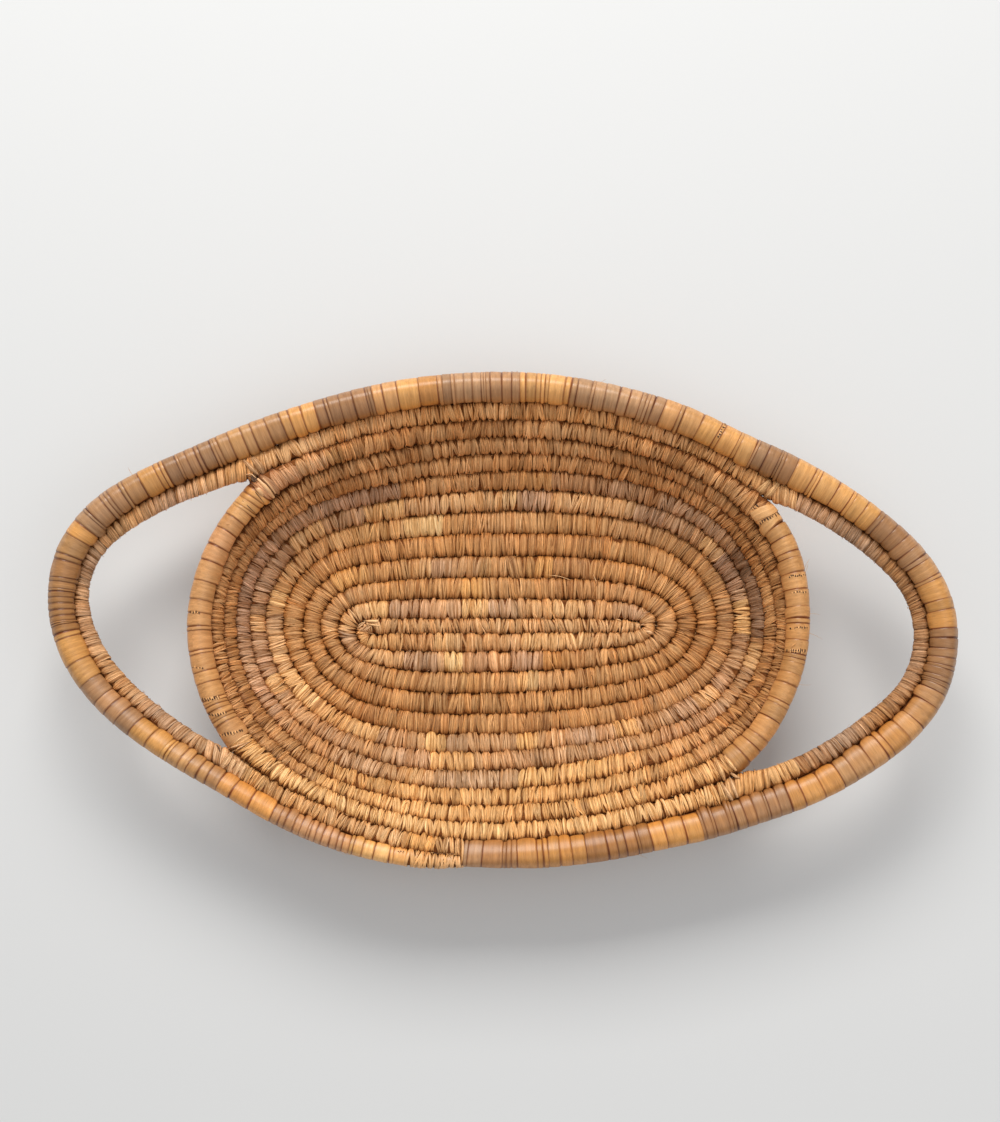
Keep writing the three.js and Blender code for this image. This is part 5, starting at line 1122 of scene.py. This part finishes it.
def spot(label, x, y, lift):
    """Where the line of sight through a point of the photograph meets the coil: distance along it and place round it."""
    i = nearest(label, x, y)
    s = np.clip(SS[i] + np.linspace(-9, 9, 37), 0.5, SS[-1] - 0.5)[:, None]
    th = np.linspace(-0.30, np.pi + 0.30, 73)[None, :]
    S2, TH2 = np.broadcast_arrays(s, th)
    q = picture(skin(S2, TH2, lift))
    k = int(np.hypot(q[..., 0] - x, q[..., 1] - y).argmin())
    return float(S2.ravel()[k]), float(TH2.ravel()[k])


def surface(s, th, lift):
    """Points and outward directions on the coil."""
    s, th = np.asarray(s, float), np.asarray(th, float)
    a = skin(s, th, lift)
    return a, unit(skin(s, th, lift + 1.0) - a)


def tubes(path, normal, half_w, half_t, rgb, sides=8, painted_end_shade=0.18):
    """Flattened strips along paths: path and normal are (n, m, 3), the half widths and half thicknesses (n, m)."""
    n, m = path.shape[:2]
    tangent = unit(np.gradient(path, axis=1))
    side = unit(np.cross(tangent, normal))
    up = np.cross(side, tangent)
    a = np.linspace(0, 2 * np.pi, sides, endpoint=False)[None, None, :, None]
    v = path[:, :, None] + side[:, :, None] * np.cos(a) * half_w[:, :, None, None] + up[:, :, None] * np.sin(a) * half_t[:, :, None, None]
    base = (np.arange(n) * m * sides)[:, None, None]
    i = np.arange(m - 1)[None, :, None]
    j = np.arange(sides)[None, None, :]
    j2 = (j + 1) % sides
    quads = np.stack(np.broadcast_arrays(base + i * sides + j, base + (i + 1) * sides + j, base + (i + 1) * sides + j2, base + i * sides + j2), -1).reshape(-1, 4)
    shape = (n, m - 1, sides)
    length = np.concatenate([np.zeros((n, 1)), np.cumsum(np.linalg.norm(np.diff(path, axis=1), axis=2), axis=1)], 1)[:, :, None]
    wide = half_w.max(1)[:, None, None]
    shift = (np.arange(n) * 7.31)[:, None, None]
    u0, u1 = np.broadcast_to(np.cos(a[..., 0]) * wide + shift, (n, 1, sides)), np.broadcast_to(np.cos(a[..., 0] + 2 * np.pi / sides) * wide + shift, (n, 1, sides))
    w0, w1 = length[:, :-1] + shift * 3.7, length[:, 1:] + shift * 3.7
    corner = lambda u, w: np.stack([np.broadcast_to(u, shape), np.broadcast_to(w, shape)], -1)
    grain = np.stack([corner(u0, w0), corner(u0, w1), corner(u1, w1), corner(u1, w0)], 3).reshape(-1, 2)
    x, y = i / (m - 1), j / sides
    cell = np.stack([corner(x, y), corner(x + 1 / (m - 1), y), corner(x + 1 / (m - 1), y + 1 / sides), corner(x, y + 1 / sides)], 3).reshape(-1, 2)
    owner = np.repeat(np.arange(n), (m - 1) * sides * 4)
    t = np.linspace(-1, 1, m)[None, :, None, None]
    # painted shade: the strips, torn edges and fibres darken towards their ends, where they run into the seams
    col = np.broadcast_to(rgb[:, None, None, :] * (1 - painted_end_shade * t ** 6), (n, m, sides, 3)).reshape(-1, 3)
    return v.reshape(-1, 3), quads, grain, cell, owner, col, n


STEPS = np.array([0.0, 0.02, 0.10, 0.20, 0.32, 0.44, 0.56, 0.68, 0.80, 0.90, 0.98, 1.0])
LAID = {"strip": [], "leaf": [], "fine": []}


def lay(kind, points, width, tone, lift=0.95, thick=0.45, taper=(0.45, 0.45), level=1.0):
    """A flat strip on the coil through points (row, x, y, own lift) of the photograph. width and thick in millimetres; taper is the share of the width left at both ends."""
    pos, nrm = [], []
    for label, x, y, *own in points:
        l = (own[0] if own else lift) + (0.30 if kind == "strip" else 0.12)
        a, b = surface(*spot(label, x, y, l), l)
        pos.append(a)
        nrm.append(b)
    pos, nrm = np.array(pos), np.array(nrm)
    c = np.concatenate([[0], np.cumsum(np.linalg.norm(np.diff(pos, axis=0), axis=1))])
    x = STEPS * c[-1]
    path = hermite(x, c, pos) if len(pos) > 2 else pos[:1] + (pos[1:] - pos[:1]) * STEPS[:, None]
    normal = unit(np.stack([np.interp(x, c, k) for k in nrm.T], 1))
    size = np.minimum(taper[0] + (1 - taper[0]) * smooth(STEPS, 0, 0.45), taper[1] + (1 - taper[1]) * smooth(1 - STEPS, 0, 0.45))
    size[0] = size[-1] = 0.03
    col = PALETTE[tone] * level
    col = col * min(1.0, 0.86 / col.max())
    thin = 0.5 + 0.5 * size
    thin[0] = thin[-1] = 0.03
    LAID[kind].append((path[None], normal[None], (width / 2 * size)[None], (thick / 2 * thin)[None], col[None]))


DARK = "umber"
# Left end of the start row: it fans out into the first turn.
lay("fine", [("start_row", 363, 620.6), ("start_row", 371, 620.9), ("start_row", 378.5, 621.2)], 2.2, "yellow", 1.0, 0.5, (0.15, 0.9), 1.05)
lay("fine", [("start_row", 367.5, 623.9), ("start_row", 374, 624.8), ("start_row", 379.5, 625.6)], 1.2, "yellow", 1.0, 0.4, (0.3, 0.6), 1.0)
for x0, y0, x1, y1, w, lv in ((338.5, 623.4, 353.2, 628.0, 1.7, 1.10), (340.0, 630.6, 352.6, 630.6, 2.1, 1.05), (341.6, 610.8, 353.6, 624.4, 1.1, 1.08),
                              (345.6, 610.4, 353.0, 619.6, 1.0, 1.0), (343.6, 617.6, 352.0, 623.8, 1.3, 1.02), (339.6, 626.8, 352.4, 629.4, 0.8, 0.8),
                              (341.0, 634.8, 352.8, 632.6, 1.2, 0.88), (338.0, 620.0, 350.0, 625.0, 0.8, 0.9)):
    lay("fine", [("start_turn", x0, y0, 1.2), ("start_turn", (x0 + x1) / 2, (y0 + y1) / 2, 1.55), ("start_turn", x1, y1, 1.2)], w, "tan_light", 1.0, 0.45, (0.35, 0.25), lv)
for x0, y0, x1, y1, w, lv in ((353.6, 632.0, 365.2, 622.4, 1.4, 1.0), (353.8, 627.0, 365.0, 621.8, 1.2, 0.92), (356.4, 634.4, 367.2, 624.6, 1.3, 0.95),
                              (360.0, 633.8, 368.6, 626.4, 1.0, 0.9), (363.6, 632.6, 371.4, 625.6, 1.1, 0.95)):
    lay("fine", [("start_row", x0, y0, 0.8), ("start_row", (x0 + x1) / 2, (y0 + y1) / 2, 1.1), ("start_row", x1, y1, 0.8)], w, "tan_light", 1.0, 0.4, (0.3, 0.5), lv)
# Right end: the whipping strands spread from one point.
for x0, y0, x1, y1, w, lv in ((645.1, 626.6, 658.8, 625.0, 1.1, 1.12), (645.9, 627.4, 657.8, 630.2, 1.2, 1.2), (648.7, 625.0, 658.8, 617.8, 1.1, 1.12),
                              (642.9, 624.0, 651.6, 613.4, 1.5, 1.08), (641.5, 621.0, 648.7, 615.6, 1.1, 1.0), (639.0, 619.6, 643.6, 612.0, 1.2, 1.0),
                              (646.0, 625.6, 656.8, 621.4, 0.9, 1.0), (644.6, 623.0, 651.8, 617.4, 1.0, 1.12)):
    lay("fine", [("start_whipping", x0, y0, 1.6), ("start_whipping", (x0 + x1) / 2, (y0 + y1) / 2, 2.0), ("B1" if y1 > 622 else "T1", x1, y1, 1.5)], w, "tan_light", 1.0, 0.45, (0.4, 0.2), lv)
lay("fine", [("start_whipping", 644.2, 630.6, 1.5), ("B1", 649.5, 632.4, 1.5), ("B1", 657.6, 636.2, 1.2)], 2.6, "tan_light", 1.0, 0.5, (0.8, 0.1), 1.12)
lay("fine", [("T1", 642.2, 606.5), ("T1", 642.6, 610), ("T1", 643.4, 613.4)], 0.6, "yellow", 1.1, 0.4, (0.2, 0.4), 1.1)
lay("fine", [("T1", 616.0, 619.0), ("start_row", 621.4, 620.9)], 0.8, "yellow", 0.9, 0.4, (0.3, 0.3), 1.15)
lay("fine", [("T3", 545, 574.6), ("T3", 560, 576.8), ("T3", 574, 581.2)], 0.34, "yellow", 1.5, 0.3, (0.3, 0.2), 1.2)
lay("fine", [("T3", 592.5, 573.0), ("T2", 597.5, 583.6)], 0.5, "yellow", 1.2, 0.3, (0.3, 0.3), 1.1)

# Far left: two strands cross onto the end rim, and a small curl closes the corner of the opening.
for a in ((249.8, 480.2, 259.6, 490.6, 270.2, 503.4, 2.7, 1.04), (257.0, 478.6, 266.0, 487.6, 274.2, 498.2, 2.5, 1.10), (262.6, 478.0, 268.0, 484.0, 275.6, 494.0, 1.2, 0.96)):
    lay("leaf", [("end_rim_wrap_left", a[0], a[1], 0.9), ("end_rim_wrap_left", a[2], a[3], 1.15), ("end_rim_wrap_left", a[4], a[5], 0.8)], a[6], "tan_light", 1.0, 0.55, (0.55, 0.7), a[7])
lay("fine", [("end_rim_wrap_left", 249.4, 485.4, 0.75), ("end_rim_wrap_left", 257.4, 494.0, 0.85), ("end_rim_wrap_left", 264.6, 503.4, 0.7)], 0.5, DARK, 0.9, 0.3, (0.5, 0.5), 0.40)
lay("fine", [("end_rim_left", 242.4, 500.0, 0.75), ("end_rim_left", 249.4, 507.4, 0.8), ("end_rim_left", 255.6, 513.4, 0.7)], 0.45, DARK, 0.9, 0.3, (0.5, 0.5), 0.45)
for a in ((245.2, 474.2, 250.6, 474.2, 256.0, 478.2, 0.9, 1.0, "tan_light"), (246.4, 476.0, 251.0, 477.0, 255.0, 479.6, 0.8, 0.45, DARK), (248.4, 478.6, 252.4, 479.2, 256.6, 481.6, 0.7, 0.9, "tan")):
    lay("fine", [("handle_lashing_far_left", a[0], a[1], 1.0), ("handle_lashing_far_left", a[2], a[3], 1.3), ("end_rim_wrap_left", a[4], a[5], 0.9)], a[6], a[8], 1.0, 0.5, (0.5, 0.5), a[7])
for a in ((243.4, 459.4, 251.0, 467.0, 258.4, 475.4, 3.0, 1.0), (251.8, 457.2, 258.4, 465.0, 263.6, 474.2, 4.6, 0.98)):
    lay("strip", [("handle_lashing_far_left", a[0], a[1], 0.9), ("handle_lashing_far_left", a[2], a[3], 1.2), ("far_side_row_11", a[4], a[5], 0.9)], a[6], "tan", 1.0, 0.6, (0.55, 0.55), a[7])

lay("strip", [("handle_lashing_far_left", 252.4, 474.6, -0.1), ("end_rim_wrap_left", 255.6, 481.4, -0.1)], 3.4, DARK, 0.2, 0.6, (0.7, 0.7), 0.42)

# Far right: one broad yellow leaf over the end rim, its edge torn, and broad strips running up to the handle.
lay("leaf", [("end_rim_wrap_right", 751.8, 517.6, 0.7), ("end_rim_wrap_right", 759.0, 514.0, 1.10), ("end_rim_wrap_right", 767.6, 510.4, 1.15), ("end_rim_wrap_right", 776.4, 506.4, 0.9)], 7.6, "honey", 1.0, 0.55, (0.9, 0.85), 0.94)
for a in ((758.8, 506.4, 769.0, 494.6, 779.6, 481.8, 3.6, 0.94), (752.8, 499.6, 761.0, 490.6, 769.6, 480.8, 5.0, 0.94), (741.6, 497.6, 747.6, 491.6, 751.8, 485.8, 4.0, 0.9)):
    lay("strip", [("far_side_row_11", a[0], a[1], 0.9), ("handle_lashing_far_right", a[2], a[3], 1.2), ("handle_lashing_far_right", a[4], a[5], 0.9)], a[6], "golden_tan", 1.0, 0.6, (0.6, 0.6), a[7])

# Near left: thin diagonal strands where the end rim runs into row 11, and broad slanted strips.
for a in ((226.6, 750.2, 236.4, 746.2, 248.4, 741.6, 1.0, 1.08), (231.6, 752.4, 241.0, 747.0, 250.6, 741.0, 0.8, 0.98)):
    lay("fine", [("end_rim_left", a[0], a[1], 0.9), ("end_rim_left", a[2], a[3], 1.15), ("end_rim_left", a[4], a[5], 0.9)], a[6], "tan_light", 1.0, 0.5, (0.5, 0.5), a[7])
for a in ((231.8, 752.6, 226.4, 760.8, 221.4, 768.4, 4.6, 1.0), (238.8, 753.6, 232.6, 763.6, 227.6, 772.4, 3.4, 1.02), (245.0, 756.2, 238.6, 766.6, 233.4, 776.2, 3.8, 1.0), (249.6, 759.0, 243.4, 768.6, 238.4, 778.0, 3.2, 0.96)):
    lay("strip", [("handle_lashing_near_left", a[0], a[1], 0.8), ("handle_lashing_near_left", a[2], a[3], 1.2), ("handle_lashing_near_left", a[4], a[5], 0.8)], a[6], "tan_light", 1.05, 0.6, (0.55, 0.55), a[7] * 1.04)
lay("fine", [("handle_lashing_near_left", 216.4, 744.8, 0.9), ("handle_lashing_near_left", 218.6, 747.6, 1.0), ("handle_lashing_near_left", 219.8, 751.4, 0.8)], 1.0, DARK, 1.0, 0.4, (0.5, 0.6), 0.5)

# Near right: strips twist across from the end rim, with a curl in the corner.
for a in ((724.0, 755.8, 730.4, 763.4, 736.6, 770.8, 2.7, 1.06), (715.8, 760.0, 720.6, 770.4, 725.2, 781.0, 3.0, 1.0)):
    lay("strip", [("near_side_row_10", a[0], a[1], 0.9), ("near_side_row_10", a[2], a[3], 1.2), ("near_side_row_10", a[4], a[5], 0.8)], a[6], "honey", 1.0, 0.6, (0.6, 0.5), a[7])
for a in ((729.4, 776.8, 733.4, 787.4, 737.4, 798.2, 2.5, 1.08), (721.6, 783.2, 727.0, 792.4, 732.4, 801.2, 3.0, 1.04)):
    lay("strip", [("near_side_row_11", a[0], a[1], 0.9), ("near_side_row_11", a[2], a[3], 1.25), ("near_side_row_11", a[4], a[5], 0.9)], a[6], "tan_light", 1.1, 0.6, (0.35, 0.55), a[7])
lay("strip", [("near_side_row_10", 730.4, 773.4, 0.9), ("handle_lashing_near_right", 735.4, 776.4, 1.3), ("handle_lashing_near_right", 740.2, 778.2, 0.9)], 2.2, "tan_light", 1.0, 0.6, (0.5, 0.3), 1.0)


def torn(label, a, b, count, length, tone=DARK, level=0.30, width=0.95, lift=0.70):
    """A torn edge of a wrap: a row of short dashes across it, pale ones between the dark."""
    r = np.random.default_rng(int(a[0] * 7 + a[1]))
    along = np.linspace(-0.5, 0.5, 6)
    for k in range(count * 2 - 1):
        t = k / max(1, 2 * count - 2)
        s, th = spot(label, a[0] + (b[0] - a[0]) * t, a[1] + (b[1] - a[1]) * t, lift)
        pale = k % 2 == 1
        long_ = length * r.uniform(0.5, 1.3) * (1.2 if pale else 1.0)
        path, normal = surface(s + along * long_ + 0.25 * r.normal(), th + 0.02 * r.normal() + 0.03 * along * r.normal(), lift - (0.06 if pale else 0.0))
        size = np.array([0.1, 0.85, 1.0, 1.0, 0.8, 0.1]) * r.uniform(0.7, 1.3)
        col = PALETTE["honey"] * r.uniform(0.85, 1.0) if pale else PALETTE[tone] * level * r.uniform(0.7, 1.4)
        TORN.append((path[None], normal[None], (width / 2 * size)[None], (0.11 * size)[None], col[None]))


TORN = []
for row in (("end_rim_right", (757.4, 524.4), (780.6, 512.4), 10, 1.7), ("far_side_row_10", (751.4, 510.2), (757.4, 506.8), 3, 2.4),
            ("far_side_row_10", (746.4, 521.4), (751.6, 518.6), 2, 2.0), ("end_rim_right", (789, 576.4), (806, 575.0), 9, 1.1),
            ("end_rim_right", (791, 592.6), (806, 591.6), 6, 1.3), ("end_rim_right", (788, 628.4), (807, 627.6), 9, 1.2),
            ("end_rim_right", (787, 650.2), (805, 651.2), 9, 2.4), ("end_rim_left", (190, 611.6), (199, 612.6), 4, 1.4),
            ("end_rim_left", (193, 667.6), (203, 668.4), 4, 1.0), ("end_rim_left", (201, 700.4), (219, 697.4), 9, 2.6),
            ("end_rim_left", (207, 716.0), (226, 712.6), 8, 1.8), ("end_rim_left", (219.6, 736.2), (242.0, 730.4), 9, 1.9),
            ("rim_far_side", (727.6, 420.4), (718.4, 436.6), 8, 1.4), ("rim_tail", (398, 851.6), (404, 851.8), 3, 1.0),
            ):
    torn(*row)
torn("near_side_row_12", (408, 851.6), (460, 854.8), 15, 2.4, DARK, 0.5, 0.7, 0.45)


def loose(count, reach_lo, reach_hi, radius, r, underside):
    """Short frayed ends of the strips: they come out of the seams and lie over the stitches."""
    m = 6
    t = np.linspace(0, 1, m)[None, :]
    s0 = r.uniform(4, SS[-1] - 30, count * 3)
    keep_ = r.random(len(s0)) < 1 - 0.8 * WRAP[(s0 / DS).astype(int)]
    s0 = s0[keep_][:count, None]
    n = len(s0)
    inner = r.random((n, 1)) < 0.6
    start = r.uniform(0.12, 0.75, (n, 1))
    th0 = np.where(inner, np.pi - start, start)
    turn = np.where(inner, -1.0, 1.0) * np.where(r.random((n, 1)) < 0.8, 1, -1)
    reach_ = r.uniform(reach_lo, reach_hi, (n, 1))
    lean = 0.7 * r.normal(size=(n, 1))
    th = th0 + turn * reach_ * np.cos(lean) * t / 7.0
    s = s0 + reach_ * np.sin(lean) * t + 0.3 * r.normal(size=(n, 1)) * t ** 2
    lift = 0.15 + r.uniform(0.6, 1.4, (n, 1)) * np.sin(np.pi * (0.12 + 0.62 * t)) + 0.05 * reach_ * t * r.uniform(0, 1.6, (n, 1))
    if underside:
        th = -th
    path = skin(s, th, lift)
    normal = unit(skin(s, th, lift + 1.0) - path)
    size = np.array([0.3, 0.9, 1.0, 0.95, 0.75, 0.12])[None, :] * r.uniform(radius[0], radius[1], (n, 1))
    col = COLOUR[(s0[:, 0] / DS).astype(int)] * r.uniform(0.85, 1.5, (n, 1)) * np.array([1.0, 1.03, 1.10])
    col = col * np.minimum(1.0, 0.80 / col.max(1, keepdims=True))
    return path, normal, size * 1.3, size * 0.8, col


def stray(label, x, y, dx, dy, up, bend=0.0, radius=0.11, tone="golden_tan", level=0.8):
    """One longer hair that stands off the coil, from a point of the photograph by dx, dy of its pixels."""
    a, b = surface(*spot(label, x, y, 0.6), 0.6)
    t = np.linspace(0, 1, 6)[:, None]
    k = 0.61
    go = np.array([dx * k, -dy * k, up])
    sideways = np.array([-go[1], go[0], 0.0])
    path = a + b * 0.4 * np.sin(t * np.pi / 2) + go * t + sideways * bend * t * (1 - t)
    size = np.array([1.0, 1.0, 0.9, 0.8, 0.6, 0.1])[None] * radius
    return path[None], np.tile(b, (6, 1))[None], size, size, (PALETTE[tone] * level)[None]


fray = np.random.default_rng(77)
HAIRS = [loose(760, 1.4, 4.6, (0.09, 0.19), fray, False), loose(260, 1.4, 4.2, (0.09, 0.18), fray, True), loose(46, 6.0, 13.0, (0.06, 0.10), fray, False)]
HAIRS += [stray(*a) for a in (
    ("end_rim_right", 804.6, 569.6, 5.5, -11.0, 0.5, 0.2), ("end_rim_right", 806.0, 573.0, 3.0, -10.0, 0.3, -0.2), ("end_rim_right", 808.6, 633.2, 14.0, 7.0, 1.0, 0.25, 0.09),
    ("end_rim_right", 795.0, 683.6, 16.0, 1.0, 0.6, -0.2, 0.08), ("end_rim_right", 808.0, 614.0, 12.0, 1.0, 0.2, 0.1, 0.08), ("rim_handle_left", 131, 472, -4.0, -7.0, 0.6, 0.2),
    ("rim_tail", 336, 851, 9.0, 3.6, 0.6, 0.2, 0.10), ("rim_tail", 344, 853, 8.0, 1.4, 0.8, -0.3, 0.10), ("end_rim_left", 189, 633, -6.0, 0.6, 0.2, 0.1, 0.08),
    ("rim_far_side", 600, 384, 7.0, -4.0, 1.0, 0.3, 0.08), ("rim_near_side", 640, 862, 9.0, 3.0, 0.4, 0.2, 0.08))]

for name, material, groups, sides in (("laid_strips", STRIP, LAID["strip"], 10), ("laid_leaf", LEAF, LAID["leaf"], 12), ("laid_strands", STRIP, LAID["fine"], 8),
                                      ("torn_edges", FIBRE, TORN, 6), ("loose_fibres", FIBRE, HAIRS, 5)):
    parts = [tubes(*g, sides=sides) for g in groups]
    piece = merge(name, parts, material)
    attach(piece, "root")

# ------------------------------------------------------------------ floor and light
floor_mesh = bpy.data.meshes.new("floor")
floor_mesh.from_pydata([(-6, -6, -0.0006), (6, -6, -0.0006), (6, 6, -0.0006), (-6, 6, -0.0006)], [], [(0, 1, 2, 3)])
floor = bpy.data.objects.new("floor", floor_mesh)
bpy.context.scene.collection.objects.link(floor)
fm = bpy.data.materials.new("pale_floor")
fm.use_nodes = True
fb = fm.node_tree.nodes["Principled BSDF"]
fb.inputs["Base Color"].default_value = (0.70, 0.705, 0.705, 1)
fb.inputs["Roughness"].default_value = 0.9
fb.inputs["Specular IOR Level"].default_value = 0.1
floor_mesh.materials.append(fm)


def area(name, place, target, size, power, tint=(1, 1, 1)):
    d = bpy.data.lights.new(name, "AREA")
    d.shape = "RECTANGLE"
    d.size, d.size_y = size
    d.energy = power
    d.color = tint
    o = bpy.data.objects.new(name, d)
    o.location = place
    o.rotation_euler = (Vector(target) - Vector(place)).to_track_quat("-Z", "Y").to_euler()
    bpy.context.scene.collection.objects.link(o)
    return o


area("key_light", (-0.2, 1.9, 1.6), (0, 0, 0), (1.7, 1.0), 54.0, (1.0, 0.985, 0.955))
area("fill_light", (0.6, -0.5, 2.0), (0, 0, 0), (2.0, 2.0), 10.0, (1.0, 0.99, 0.97))
world = bpy.data.worlds.new("studio")
bpy.context.scene.world = world
world.use_nodes = True
world.node_tree.nodes["Background"].inputs[0].default_value = (0.98, 0.985, 1.0, 1)
world.node_tree.nodes["Background"].inputs[1].default_value = 0.46
bpy.context.scene.view_settings.view_transform = "Standard"
